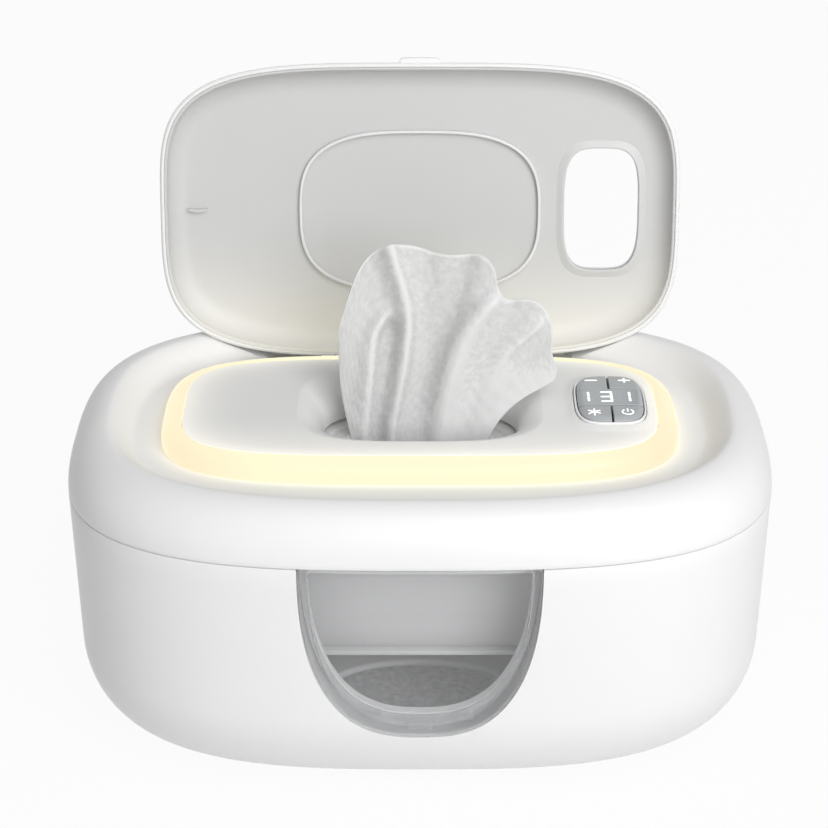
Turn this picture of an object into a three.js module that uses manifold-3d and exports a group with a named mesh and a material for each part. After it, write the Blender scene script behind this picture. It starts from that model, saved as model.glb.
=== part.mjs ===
// Baby wipe warmer with a hinged cover, a flip lid, a glowing night-light ring and a front window.
// Millimetres, +Z up, +X to the right, -Y to the front. The origin is on the table under the middle.
// The lid stands open, as the warmer is used, and the main cover is shut.
import * as THREE from "three";
import { mergeVertices } from "three/addons/utils/BufferGeometryUtils.js";
import Module from "manifold-3d";

const wasm = await Module();
wasm.setup();

// Driving dimensions, in millimetres and degrees. A power is a super-ellipse's: 2 is an ellipse.
const degree = Math.PI / 180;
const gap = 0.3; // between pieces that meet
const overrun = 5; // how far a cutter runs past what it cuts
const wall = 2.4; // outer mouldings
const innerWall = 2; // inner mouldings

const body = { width: 250, depth: 177, power: 3, seamHeight: 99, footHeight: 1.5, cornerRadius: 39, taper: 3 };
const ledge = { width: 2.2, height: 3 }; // the tank hangs on it
const notch = { depth: 3, width: 5, height: 1.4 }; // for a finger, at the left of the seam

// The cover rises from the seam to a crest, then dips to a flat floor round the light ring.
const cover = {
  crestRise: 19.5,
  crestSet: 14,
  crestPower: 2.8,
  roof: 2.6,
  dishDrop: 8,
  dishWidth: 10,
  floorPower: 2.7,
  underLap: 0.5,
};
const hingePocket = { endSet: 16.4, before: 5.2, behind: 16.2, drop: 4, power: 10 };

const ring = { y: -1, sideGap: 9, frontGap: 16.5, power: 2.6, band: 7.4, footRise: 1.5, thickness: 2 };
const deck = { rise: 7.9, thickness: 2, skirt: 1.6, floorLip: 3.4, collarRise: 0.8, collarReach: 2.3 };
const funnel = { podGap: 11.3, edgeGap: 10.6, power: 2.6, drop: 11.2, wall: 2, throatShares: [0.795, 0.683] };
const slot = { shares: [0.7, 0.39], power: 2.4, seatX: 5, seatY: 4.5, thickness: 2.7 };

const pod = { edgeGap: 3.9, width: 25.4, depth: 35.2, power: 3.6, rise: 2.9, bezel: 1, bezelTop: 0.4 };
const key = { thickness: 2.6, groove: 0.4, travel: 0.6, freePlay: 0.2, stem: 1.5, setX: 6.7, setY: 6.6 };
const display = { depth: 13.4, thickness: 3.2, ledWidth: 17, ledDepth: 8.6 };
const tact = { size: 4.4, height: 1.5, stem: 1.4, stemRise: 0.8 };
const controlBoard = { rise: 0.4, thickness: 1.6, set: 0.2 };

const lid = {
  sideReach: 4.4, // past the ring
  frontReach: 9.2,
  shift: -0.7,
  power: 3.06,
  rimRise: 2, // over the dish's floor when the lid is shut
  height: 11.5,
  round: 5,
  skirt: 2,
  roof: 1.7,
  openAngle: 100,
};
const liner = { wall: 1.2, rimStep: 0.8, roundShare: 0.62 };
const lidSeal = { reachX: 1.7, reachY: 1.6, power: 3, band: 2.2 };
const lidHole = { shift: 0.4, sideGap: 1.3, frontGap: 5.6, power: 3.6, collar: 1.7, collarDrop: 1.3 };
const tab = { width: 15, reach: 1.8, thickness: 2, rise: 1 };
const tongue = { set: 12.9, radius: 3.6, width: 1.4, drop: 1.7 };
const lidHinge = {
  drop: 2.3,
  rear: 0.5,
  radius: 2.6,
  start: 20,
  length: 12,
  lug: 5,
  lugHalf: 2.2,
  rise: 5.8,
};
const coverHinge = { out: 0.3, radius: 2.6, start: 40, length: 10, webHeight: 5 };
const hingePin = { radius: 1.2, bore: 0.1, sideGap: 0.4, swing: 0.4, endSet: 0.4 };

const pane = { width: 82, low: 32.5, power: 2.55, thickness: 2.6, reachBack: 20, topDrop: 8 };
const clip = { x: 15.5, width: 5.4, tabWidth: 8.4, height: 1.6, depth: 2, set: 3.6 };
const windowSeal = 1.4;

const tank = {
  rimSet: 12.5,
  footSet: 16.5,
  underSet: 19.5,
  rimDrop: 1.7,
  rise: 14.5, // over the housing's foot
  kneeRise: 4,
  flangeSet: 3,
};
const well = { frontSet: 25.5, width: 72, depth: 52, power: 2.2, drop: 5, pad: 3.7 };
const coverSeal = { set: 12.6, width: 3 };
const under = { rise: 1.2, thickness: 1.7, set: 3.1, seatX: 9, seatY: 8 };

const lift = { y: 1, sideSet: 27, frontSet: 37, power: 8, rise: 26, thickness: 1.8 };
const spring = { setX: 23, setY: 19.5, radius: 4.2, wire: 0.5, turns: 4, peg: 3.1, pegHeight: 3 };
const pack = { y: 0.5, sideSet: 4, frontSet: 1, power: 7, topGap: 1.6, crown: 7, bulge: 3, knee: 4 };
const sheet = {
  thickness: 0.9,
  footGap: 0.8,
  height: 81,
  neck: 6,
  reach: 50,
  sideGap: 0.8,
  foldShare: 0.575,
  topFold: 8,
  lean: 5,
};

const basePlate = { sideSet: 59, frontSet: 54.5, power: 2.6, thickness: 2, lip: 3.5, rim: 3 };
const foot = { shares: [0.94, 0.94], radius: 6, pocket: 1, height: 2.2 }; // shares of the plate's half sizes
const screw = { radius: 1.3, head: 2.7, headHeight: 1.1, length: 6, boss: 3.4 };
const baseScrewShares = [0.82, 0.53];
const coverScrew = { setX: 37, setY: 42.5 };

const heater = { sideSet: 45, wellGap: 5, rearSet: 42.5, power: 6, thickness: 1.2, filmSet: 4, film: 1 };
const fuse = { x: 20, length: 14, radius: 1.5, rearSet: 12 };
const sensor = { x: -34, length: 8, radius: 1.2, rearSet: 12 };
const board = { y: 12, screwGap: 24, depth: 30, thickness: 1.6, height: 6.6, post: 2.4, set: 4 };
const boardPart = { set: 18, width: 12, depth: 10, height: 2 };
const jack = {
  z: 50,
  barrel: 5.2,
  length: 6.5,
  out: 0.5,
  flange: 8,
  flangeThickness: 2.2,
  bore: 3.2,
  pin: 1,
  seat: 5,
};
const led = { set: 3.2, width: 3.4, thickness: 1.2 };

// Heights that several pieces share
const seamLow = body.seamHeight - gap / 2;
const seamHigh = body.seamHeight + gap / 2;
const kneeHeight = body.footHeight + body.cornerRadius;
const bowlFloor = body.footHeight + wall;
const tankUnder = body.footHeight + tank.rise;
const tankFloor = tankUnder + innerWall;
const tankRim = body.seamHeight - tank.rimDrop;
const paneTop = seamLow - pane.thickness;
const liftLow = tankFloor + lift.rise;
const underLow = body.seamHeight + under.rise;
const packTop = underLow - pack.topGap;
const slotLow = underLow + under.thickness + gap;
const crestHeight = body.seamHeight + cover.crestRise;
const dishFloor = crestHeight - cover.dishDrop;
const pocketFloor = dishFloor - hingePocket.drop;
const deckTop = dishFloor + deck.rise;
const deckUnder = deckTop - deck.thickness;
const circuitLow = dishFloor + controlBoard.rise;
const circuitTop = circuitLow + controlBoard.thickness;
const rimHeight = dishFloor + lid.rimRise; // of the shut lid
const lidTop = rimHeight + lid.height;
const linerFace = lidTop - lid.roof - gap - liner.wall;
const podTop = deckTop + pod.rise;

// Places and widths that several pieces share
const frontY = -body.depth / 2;
const coverAxisY = body.depth / 2 + coverHinge.out;
const dishSet = cover.crestSet + cover.dishWidth;
const ringWidth = body.width - 2 * (dishSet + ring.sideGap);
const ringDepth = body.depth - 2 * (dishSet + ring.frontGap);
const lidWidth = ringWidth + 2 * lid.sideReach;
const lidDepth = ringDepth + 2 * lid.frontReach;
const lidY = ring.y + lid.shift;
const hingeY = lidY + lidDepth / 2 - lidHinge.rear;
const hingeZ = rimHeight - lidHinge.drop;
const podX = ringWidth / 2 - ring.band - pod.edgeGap - pod.width / 2;
const lidHoleX = podX + lidHole.shift;
const funnelWidth = 2 * (podX - pod.width / 2 - funnel.podGap);
const funnelDepth = ringDepth - 2 * (ring.band + funnel.edgeGap);
const throatWidth = funnelWidth * funnel.throatShares[0];
const throatDepth = funnelDepth * funnel.throatShares[1];
const slotWidth = throatWidth * slot.shares[0];
const slotDepth = throatDepth * slot.shares[1];
const slotRingWidth = throatWidth + 2 * slot.seatX;
const slotRingDepth = throatDepth + 2 * slot.seatY;
const liftWidth = body.width - 2 * lift.sideSet;
const liftDepth = body.depth - 2 * lift.frontSet;
const springX = liftWidth / 2 - spring.setX;
const springY = liftDepth / 2 - spring.setY;
const wellY = frontY + well.frontSet + well.depth / 2;
const plateWidth = body.width - 2 * basePlate.sideSet;
const plateDepth = body.depth - 2 * basePlate.frontSet;
const footX = (plateWidth / 2) * foot.shares[0];
const footY = (plateDepth / 2) * foot.shares[1];
const baseScrewX = (plateWidth / 2) * baseScrewShares[0];
const baseScrewY = (plateDepth / 2) * baseScrewShares[1];
const coverScrewX = body.width / 2 - coverScrew.setX;
const coverScrewY = body.depth / 2 - coverScrew.setY;
const boardWidth = 2 * (baseScrewX - board.screwGap);
const heaterFront = wellY + well.depth / 2 + heater.wellGap;
const heaterBack = body.depth / 2 - heater.rearSet;
const heaterY = (heaterFront + heaterBack) / 2;
const fuseY = heaterBack - fuse.rearSet;
const sensorY = heaterBack - sensor.rearSet;
const tongueX = tongue.set - lidWidth / 2;
const keyX = pod.width / 2 - key.setX;
const keyY = pod.depth / 2 - key.setY;
const fourCorners = [
  ["front_left", -1, -1],
  ["front_right", 1, -1],
  ["rear_left", -1, 1],
  ["rear_right", 1, 1],
];
const twoSides = [
  ["left", -1],
  ["right", 1],
];

// Outlines: half sizes and the super-ellipse's power
const fine = 28;
const coarse = 16;

function oval(width, depth, power, count = fine) {
  return { halfX: width / 2, halfY: depth / 2, power, count };
}

function shrink(outline, inset, power = outline.power) {
  return { ...outline, halfX: outline.halfX - inset, halfY: outline.halfY - inset, power };
}

function between(a, b, share) {
  return a + (b - a) * share;
}

const seamOutline = oval(body.width, body.depth, body.power);
const ringOutline = oval(ringWidth, ringDepth, ring.power);
const ringInner = shrink(ringOutline, ring.band);
const funnelOutline = oval(funnelWidth, funnelDepth, funnel.power, coarse);
const podOutline = oval(pod.width, pod.depth, pod.power, coarse);
const lidOutline = oval(lidWidth, lidDepth, lid.power);
const lidHoleOutline = oval(
  pod.width + 2 * lidHole.sideGap,
  pod.depth + 2 * lidHole.frontGap,
  lidHole.power,
  coarse,
);
const basePlateOutline = oval(plateWidth, plateDepth, basePlate.power, coarse);
const wellOutline = oval(well.width, well.depth, well.power, coarse);

function outlineLoop({ halfX, halfY, power, count }, z, x = 0, y = 0) {
  return Array.from({ length: count }, (_, i) => {
    const angle = (2 * Math.PI * i) / count;
    const c = Math.cos(angle);
    const s = Math.sin(angle);
    return [
      x + halfX * Math.sign(c) * Math.abs(c) ** (2 / power),
      y + halfY * Math.sign(s) * Math.abs(s) ** (2 / power),
      z,
    ];
  });
}

// Solids
function solidFrom(positions, indices) {
  const vertProperties = new Float32Array(positions);
  return new wasm.Manifold(new wasm.Mesh({ numProp: 3, vertProperties, triVerts: new Uint32Array(indices) }));
}

// A closed skin through loops of equal length. Its ends are fans, or strips where each loop is a thin band.
function skin(loops, stripEnds = false) {
  const count = loops[0].length;
  const positions = loops.flat(2);
  const indices = [];
  for (let k = 0; k + 1 < loops.length; k++) {
    for (let i = 0; i < count; i++) {
      const a = k * count + i;
      const b = k * count + ((i + 1) % count);
      indices.push(a, b, b + count, a, b + count, a + count);
    }
  }
  const top = (loops.length - 1) * count;
  if (stripEnds) {
    for (let i = 0; i + 1 < count / 2; i++) {
      const far = count - 1 - i;
      indices.push(i, far - 1, i + 1, i, far, far - 1);
      indices.push(top + i, top + i + 1, top + far - 1, top + i, top + far - 1, top + far);
    }
    return solidFrom(positions, indices);
  }
  const hub = positions.length / 3;
  for (const loop of [loops[0], loops[loops.length - 1]]) {
    for (const axis of [0, 1, 2]) positions.push(loop.reduce((sum, point) => sum + point[axis], 0) / count);
  }
  for (let i = 0; i < count; i++) {
    const j = (i + 1) % count;
    indices.push(hub, j, i, hub + 1, top + i, top + j);
  }
  return solidFrom(positions, indices);
}

function loft(sections, x = 0, y = 0) {
  return skin(sections.map(({ outline, z }) => outlineLoop(outline, z, x, y)));
}

function prism(outline, low, high, x = 0, y = 0) {
  return loft([{ outline, z: low }, { outline, z: high }], x, y);
}

function solidOf(geometry) {
  const bare = geometry.clone();
  bare.deleteAttribute("normal");
  bare.deleteAttribute("uv");
  const merged = mergeVertices(bare);
  return solidFrom(merged.attributes.position.array, merged.index.array);
}

function block(x0, x1, y0, y1, z0, z1) {
  const box = new THREE.BoxGeometry(x1 - x0, y1 - y0, z1 - z0);
  return solidOf(box.translate((x0 + x1) / 2, (y0 + y1) / 2, (z0 + z1) / 2));
}

function rodX(radius, x0, x1, y, z, sides = 12) {
  const rod = new THREE.CylinderGeometry(radius, radius, x1 - x0, sides);
  return solidOf(rod.rotateZ(Math.PI / 2).translate((x0 + x1) / 2, y, z));
}

function rodY(radius, y0, y1, x, z, sides = 16) {
  return solidOf(new THREE.CylinderGeometry(radius, radius, y1 - y0, sides).translate(x, (y0 + y1) / 2, z));
}

function rodZ(radius, z0, z1, x, y, sides = 8) {
  const rod = new THREE.CylinderGeometry(radius, radius, z1 - z0, sides);
  return solidOf(rod.rotateX(Math.PI / 2).translate(x, y, (z0 + z1) / 2));
}

function geometryOf(solid) {
  const mesh = solid.getMesh();
  const geometry = new THREE.BufferGeometry();
  geometry.setAttribute("position", new THREE.BufferAttribute(new Float32Array(mesh.vertProperties), 3));
  geometry.setIndex(new THREE.BufferAttribute(new Uint32Array(mesh.triVerts), 1));
  geometry.computeVertexNormals();
  return geometry;
}

// Materials
function plastic(color, roughness) {
  return new THREE.MeshStandardMaterial({ color, roughness, metalness: 0 });
}

function metal(color, roughness) {
  return new THREE.MeshStandardMaterial({ color, roughness, metalness: 1 });
}

const white = plastic(0xf4f4f5, 0.35);
const softWhite = plastic(0xe9e9e8, 0.45);
const linerWhite = plastic(0xdededd, 0.5);
const tankGrey = plastic(0xc9c9cc, 0.5);
const keyGrey = plastic(0xa4a8ab, 0.35);
const displayGrey = plastic(0x9ea3a7, 0.2);
const silicone = plastic(0xe6e6e6, 0.6);
const rubber = plastic(0x8f9194, 0.8);
const foam = plastic(0x77777c, 0.95);
const cloth = plastic(0xf3f3f3, 0.95);
const film = plastic(0xe4e4e6, 0.4);
const circuit = plastic(0x2f6b46, 0.6);
const black = plastic(0x27282b, 0.5);
const amber = plastic(0xb5632d, 0.6);
const steel = metal(0xc8cacc, 0.3);
const aluminium = metal(0xb9bcc0, 0.4);
const glow = new THREE.MeshStandardMaterial({ color: 0xfff6cf, roughness: 0.4, emissive: 0xfff2b8 });
const clear = new THREE.MeshStandardMaterial({ color: 0xf2f5f7, roughness: 0.08, transparent: true, opacity: 0.3 });

const warmer = new THREE.Group();
const lidGroup = new THREE.Group();
lidGroup.position.set(0, hingeY, hingeZ);
lidGroup.rotation.x = -lid.openAngle * degree;
warmer.add(lidGroup);

function add(name, solid, material) {
  const mesh = new THREE.Mesh(geometryOf(solid), material);
  mesh.name = name;
  warmer.add(mesh);
}

// The lid's pieces are drawn shut and turn with its hinge.
function addToLid(name, solid, material) {
  const mesh = new THREE.Mesh(geometryOf(solid), material);
  mesh.name = name;
  mesh.position.set(0, -hingeY, -hingeZ);
  lidGroup.add(mesh);
}

// Shapes that several pieces follow
// The bowl's outside, or a skin a thickness inside it: a straight taper over a round foot.
function bowlShape(inside, high) {
  const steps = 5;
  const radius = body.cornerRadius - inside;
  const taperAt = (z) => (body.taper * (seamLow - z)) / (seamLow - body.footHeight);
  const sections = Array.from({ length: steps + 1 }, (_, i) => {
    const angle = (Math.PI / 2) * (i / steps);
    const z = kneeHeight - radius * Math.cos(angle);
    return { outline: shrink(seamOutline, taperAt(z) + body.cornerRadius - radius * Math.sin(angle)), z };
  });
  sections.push({ outline: shrink(seamOutline, inside), z: high });
  return loft(sections);
}

// The tank's outside, grown by some thickness, up to a height.
function tankShape(grown, high) {
  return loft([
    { outline: shrink(seamOutline, tank.underSet - grown), z: tankUnder - grown },
    { outline: shrink(seamOutline, tank.footSet - grown), z: tankUnder + tank.kneeRise - grown },
    { outline: shrink(seamOutline, tank.rimSet - grown), z: tankRim },
    { outline: shrink(seamOutline, tank.rimSet - grown), z: high },
  ]);
}

// The window's opening, its edge moved in by an inset, run from the front back to a depth.
function windowShape(inset, top, backY) {
  const halfWidth = pane.width / 2 - inset;
  const drop = body.seamHeight - pane.low - inset;
  const steps = 24;
  const high = body.seamHeight + 3 * overrun;
  const shape = new THREE.Shape();
  shape.moveTo(-halfWidth, high);
  for (let i = 0; i <= steps; i++) {
    const angle = Math.PI * (1 - i / steps);
    const c = Math.cos(angle);
    const x = halfWidth * Math.sign(c) * Math.abs(c) ** (2 / pane.power);
    shape.lineTo(x, body.seamHeight - drop * Math.abs(Math.sin(angle)) ** (2 / pane.power));
  }
  shape.lineTo(halfWidth, high);
  const depth = backY - frontY + overrun;
  const run = new THREE.ExtrudeGeometry(shape, { depth, bevelEnabled: false });
  const below = block(-pane.width, pane.width, frontY - 2 * overrun, backY + overrun, 0, top);
  return solidOf(run.rotateX(Math.PI / 2).translate(0, backY, 0)).intersect(below);
}

// A rounded cap: straight sides from a low to a shoulder height, then a quarter round in to the top.
function cap(outline, low, high, round, x = 0, y = 0) {
  const steps = 3;
  const sections = [{ outline, z: low }];
  for (let i = 0; i <= steps; i++) {
    const angle = (Math.PI / 2) * (i / steps);
    const inset = round * (1 - Math.cos(angle));
    sections.push({ outline: shrink(outline, inset), z: high - round * (1 - Math.sin(angle)) });
  }
  return loft(sections, x, y);
}

function screwSolid(x, y, low) {
  const shoulder = low + screw.headHeight;
  const shank = rodZ(screw.radius, shoulder - gap, shoulder + screw.length, x, y);
  return rodZ(screw.head, low, shoulder, x, y).add(shank);
}

// Spans of a hinge along X, mirrored to a side
function span(side, start, length, grow = 0) {
  const near = side > 0 ? start : -start - length;
  return [near - grow, near + length + grow];
}

const coverKnuckleStart = coverHinge.start + coverHinge.length + hingePin.sideGap;

function rearRod(side, start, radius, grow = 0) {
  const [x0, x1] = span(side, start, coverHinge.length, grow);
  return rodX(radius, x0, x1, coverAxisY, body.seamHeight);
}

// Where the shells' outside stands at the rear, out at some x
function rearWallY(x) {
  return (body.depth / 2) * (1 - Math.abs((2 * x) / body.width) ** body.power) ** (1 / body.power);
}

// Adds one shell's rear knuckle, clears the other shell's and bores both.
function withRearHinge(shell, own, other, lowZ, highZ) {
  let result = shell;
  for (const [, side] of twoSides) {
    const [x0, x1] = span(side, own, coverHinge.length);
    const webY = rearWallY(own + coverHinge.length) - wall / 2;
    const web = block(x0, x1, webY, coverAxisY, lowZ, highZ);
    result = result
      .add(web)
      .add(rearRod(side, own, coverHinge.radius))
      .subtract(rearRod(side, other, coverHinge.radius + hingePin.swing, hingePin.sideGap))
      .subtract(rearRod(side, own, hingePin.radius + hingePin.bore, overrun));
  }
  return result;
}

// Lower housing
function outerBowl() {
  const envelope = bowlShape(0, seamLow);
  const ledgeTop = tankRim - innerWall - gap;
  const ledgeRing = prism(shrink(seamOutline, wall / 2 + gap), ledgeTop - ledge.height, ledgeTop).subtract(
    prism(shrink(seamOutline, wall + ledge.width), ledgeTop - ledge.height - overrun, seamHigh),
  );
  const rimTop = bowlFloor + gap + basePlate.thickness;
  let bowl = envelope
    .subtract(bowlShape(wall, seamHigh + overrun))
    .add(ledgeRing)
    .add(prism(shrink(basePlateOutline, -basePlate.rim), bowlFloor - gap, rimTop));
  const plateTop = bowlFloor + gap / 2;
  bowl = bowl.subtract(prism(shrink(basePlateOutline, basePlate.lip), bowlFloor - wall, rimTop + overrun));
  for (const [, sx, sy] of fourCorners) {
    bowl = bowl.add(rodZ(screw.boss, plateTop, plateTop + screw.length, sx * baseScrewX, sy * baseScrewY));
  }
  bowl = bowl.subtract(prism(shrink(basePlateOutline, -gap), body.footHeight - overrun, plateTop));
  for (const [, sx, sy] of fourCorners) {
    const pocketTop = body.footHeight + foot.pocket;
    bowl = bowl
      .subtract(rodZ(screw.radius + gap, body.footHeight, kneeHeight, sx * baseScrewX, sy * baseScrewY))
      .subtract(rodZ(foot.radius + gap, -overrun, pocketTop, sx * footX, sy * footY, coarse));
  }
  bowl = bowl.subtract(rodY(jack.barrel + gap, coverAxisY - coverHinge.webHeight - overrun, coverAxisY, 0, jack.z));
  bowl = bowl.subtract(windowShape(0, seamHigh + overrun, frontY + pane.reachBack));
  const left = -body.width / 2;
  const notchLow = seamLow - notch.height;
  bowl = bowl.subtract(block(left - overrun, left + notch.depth, -notch.width, 0, notchLow, seamHigh));
  return withRearHinge(bowl, coverHinge.start, coverKnuckleStart, seamLow - coverHinge.webHeight, seamLow);
}

function basePlateSolid() {
  const low = body.footHeight + gap;
  let plate = prism(basePlateOutline, low, low + basePlate.thickness);
  for (const sx of [-1, 1]) {
    for (const sy of [-1, 1]) {
      const x = sx * (boardWidth / 2 - board.set);
      const y = board.y + sy * (board.depth / 2 - board.set);
      plate = plate
        .add(rodZ(board.post, low, board.height - gap, x, y))
        .subtract(rodZ(screw.head + gap, -overrun, low + screw.headHeight, sx * baseScrewX, sy * baseScrewY))
        .subtract(rodZ(screw.radius + gap, low, board.height, sx * baseScrewX, sy * baseScrewY));
    }
  }
  return plate;
}

function innerTank() {
  const interior = loft([
    { outline: shrink(seamOutline, tank.underSet + innerWall), z: tankFloor },
    { outline: shrink(seamOutline, tank.footSet + innerWall), z: tankUnder + tank.kneeRise + innerWall },
    { outline: shrink(seamOutline, tank.rimSet + innerWall), z: tankRim },
    { outline: shrink(seamOutline, tank.rimSet + innerWall), z: tankRim + overrun },
  ]);
  const flange = prism(shrink(seamOutline, tank.flangeSet), tankRim - innerWall, tankRim).subtract(
    windowShape(-gap, seamHigh + overrun, frontY + pane.reachBack),
  );
  const wellLow = tankFloor - well.drop;
  let shell = tankShape(0, tankRim + gap)
    .subtract(prism(seamOutline, tankRim, seamHigh + overrun))
    .add(flange)
    .add(prism(shrink(wellOutline, -innerWall), wellLow - innerWall, tankFloor, 0, wellY))
    .subtract(interior)
    .subtract(prism(wellOutline, wellLow, tankFloor + overrun, 0, wellY))
    .subtract(windowShape(pane.thickness + gap, body.seamHeight - pane.topDrop, frontY + pane.reachBack * 2));
  for (const [, sx, sy] of fourCorners) {
    shell = shell.add(
      rodZ(spring.peg, tankFloor - innerWall / 2, tankFloor + spring.pegHeight, sx * springX, sy * springY),
    );
  }
  return shell;
}

function windowPane() {
  const backY = frontY + pane.reachBack;
  const hollow = windowShape(pane.thickness + gap, paneTop, backY).intersect(bowlShape(pane.thickness, seamHigh));
  let glass = windowShape(gap, seamLow, backY)
    .intersect(bowlShape(0, seamLow))
    .subtract(hollow)
    .subtract(tankShape(windowSeal + 2 * gap, seamHigh + overrun));
  const floorZ = pane.low + gap + pane.thickness;
  const clipY = frontY + pane.thickness + clip.set;
  for (const [x, width] of [
    [-clip.x, clip.width],
    [clip.x, clip.width],
    [0, clip.tabWidth],
  ]) {
    const low = floorZ - pane.thickness / 2;
    glass = glass.add(block(x - width / 2, x + width / 2, clipY, clipY + clip.depth, low, floorZ + clip.height));
  }
  return glass;
}

function windowGasket() {
  const backY = frontY + pane.reachBack;
  return windowShape(gap, seamLow, backY)
    .subtract(windowShape(gap + pane.thickness, paneTop, backY + overrun))
    .intersect(tankShape(windowSeal + gap, seamHigh + overrun))
    .subtract(tankShape(gap, seamHigh + overrun * 2));
}

function powerInlet() {
  const wallY = body.depth / 2 - (body.taper * (seamLow - jack.z)) / (seamLow - body.footHeight);
  const outY = wallY - jack.out;
  const flangeY = wallY - wall - 2 * gap;
  const inY = outY - jack.length;
  return rodY(jack.barrel, inY, outY, 0, jack.z)
    .add(rodY(jack.flange, flangeY - jack.flangeThickness, flangeY, 0, jack.z))
    .subtract(rodY(jack.bore, outY - jack.seat, outY + overrun, 0, jack.z, 14))
    .add(rodY(jack.pin, inY, outY - jack.out * 2, 0, jack.z, 10));
}

// Lift plate, springs and wipes
function liftPlate() {
  const top = liftLow + lift.thickness;
  let plate = prism(oval(liftWidth, liftDepth, lift.power), liftLow, top, 0, lift.y);
  for (const [, sx, sy] of fourCorners) {
    const low = liftLow - spring.pegHeight;
    plate = plate.add(rodZ(spring.peg, low, liftLow + lift.thickness / 2, sx * springX, sy * springY));
  }
  return plate;
}

function springSolid(x, y) {
  const low = tankFloor + gap + spring.wire;
  const high = liftLow - gap - spring.wire;
  const steps = 8 * spring.turns;
  const sides = 5;
  const loops = Array.from({ length: steps + 1 }, (_, i) => {
    const angle = (2 * Math.PI * spring.turns * i) / steps;
    const z = between(low, high, i / steps);
    return Array.from({ length: sides }, (_, j) => {
      const turn = (2 * Math.PI * j) / sides;
      const radius = spring.radius + spring.wire * Math.sin(turn);
      return [x + radius * Math.cos(angle), y + radius * Math.sin(angle), z + spring.wire * Math.cos(turn)];
    });
  });
  return skin(loops);
}

function wipePack() {
  const low = liftLow + lift.thickness + gap;
  const full = oval(liftWidth - 2 * pack.sideSet, liftDepth - 2 * pack.frontSet, pack.power);
  const edge = packTop - pack.crown;
  const crownShares = [
    [0, 0],
    [0.08, 0.3],
    [0.3, 0.66],
    [0.62, 0.9],
    [0.95, 1],
  ];
  return loft(
    [
      { outline: shrink(full, pack.bulge), z: low },
      { outline: shrink(full, pack.bulge / 4), z: low + pack.knee / 2 },
      { outline: full, z: low + pack.knee * 2 },
      { outline: full, z: edge - pack.knee * 2 },
      ...crownShares.map(([inwardShare, riseShare]) => ({
        outline: {
          ...full,
          halfX: (full.halfX - pack.bulge / 2) * (1 - inwardShare),
          halfY: (full.halfY - pack.bulge / 2) * (1 - inwardShare),
          power: between(full.power, 2, Math.sqrt(inwardShare)),
        },
        z: edge + pack.crown * riseShare,
      })),
    ],
    0,
    pack.y,
  );
}

// The drawn-up wipe: pinched in the slot, fanned out and folded above it, leaning to the right.
const edgeShares = [
  [-0.54, 0.5],
  [-0.49, 0.785],
  [-0.34, 0.955],
  [-0.1, 1],
  [0.2, 0.948],
  [0.41, 0.955],
  [0.55, 0.8],
  [0.68, 0.735],
  [0.85, 0.72],
  [0.945, 0.585],
  [0.99, 0.385],
];

function wipeSheet() {
  const columns = 28;
  const baseWidth = slotWidth - 2 * sheet.sideGap;
  const baseFold = (slotDepth / 2) * sheet.foldShare;
  const rows = 9;
  const waves = 3.5;
  const edge = new THREE.CatmullRomCurve3(
    edgeShares.map(([x, z]) => new THREE.Vector3(x * sheet.reach, 0, z * sheet.height)),
  );
  const tops = Array.from({ length: columns + 1 }, (_, i) => edge.getPoint(i / columns));
  const pointAt = (i, k, side) => {
    const across = i / columns;
    const rise = (tops[i].z * k) / rows;
    const up = Math.max(0, (rise - sheet.neck) / (tops[i].z - sheet.neck));
    const x = between((across - 1 / 2) * baseWidth, tops[i].x, up);
    const pinch = Math.sin(Math.PI * across) ** (1 - up);
    const fold = between(baseFold, sheet.topFold, up) * Math.cos(2 * Math.PI * waves * across) * pinch;
    const y = -fold + sheet.lean * up * up + (side * sheet.thickness) / 2;
    return [x, y, packTop + sheet.footGap + rise];
  };
  const loops = Array.from({ length: rows + 1 }, (_, k) => [
    ...Array.from({ length: columns + 1 }, (_, i) => pointAt(i, k, -1)),
    ...Array.from({ length: columns + 1 }, (_, i) => pointAt(columns - i, k, 1)),
  ]);
  return skin(loops, true);
}

// Cover
const pocketWidth = lidWidth - 2 * hingePocket.endSet;
const pocketOutline = oval(pocketWidth, hingePocket.before + hingePocket.behind, hingePocket.power);
const pocketY = hingeY + (hingePocket.behind - hingePocket.before) / 2;

// A skin of the cover: up the shoulder from the seam, over the crest and down to the dish's floor.
function coverShape(startSet, lowZ, crestZ, endSet, floorZ) {
  const arcSteps = 5;
  const dishSteps = 3;
  const sections = [{ outline: shrink(seamOutline, startSet), z: lowZ }];
  for (let i = 1; i <= arcSteps; i++) {
    const angle = (Math.PI / 2) * (i / arcSteps);
    const inset = between(startSet, cover.crestSet, 1 - Math.cos(angle));
    const power = between(body.power, cover.crestPower, 1 - Math.cos(angle));
    sections.push({ outline: shrink(seamOutline, inset, power), z: between(seamHigh, crestZ, Math.sin(angle)) });
  }
  for (let i = 1; i <= dishSteps; i++) {
    const share = i / dishSteps;
    const power = between(cover.crestPower, cover.floorPower, share);
    const outline = shrink(seamOutline, between(cover.crestSet, endSet, share), power);
    sections.push({ outline, z: between(crestZ, floorZ, (1 - Math.cos(Math.PI * share)) / 2) });
  }
  return loft(sections);
}

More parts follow.
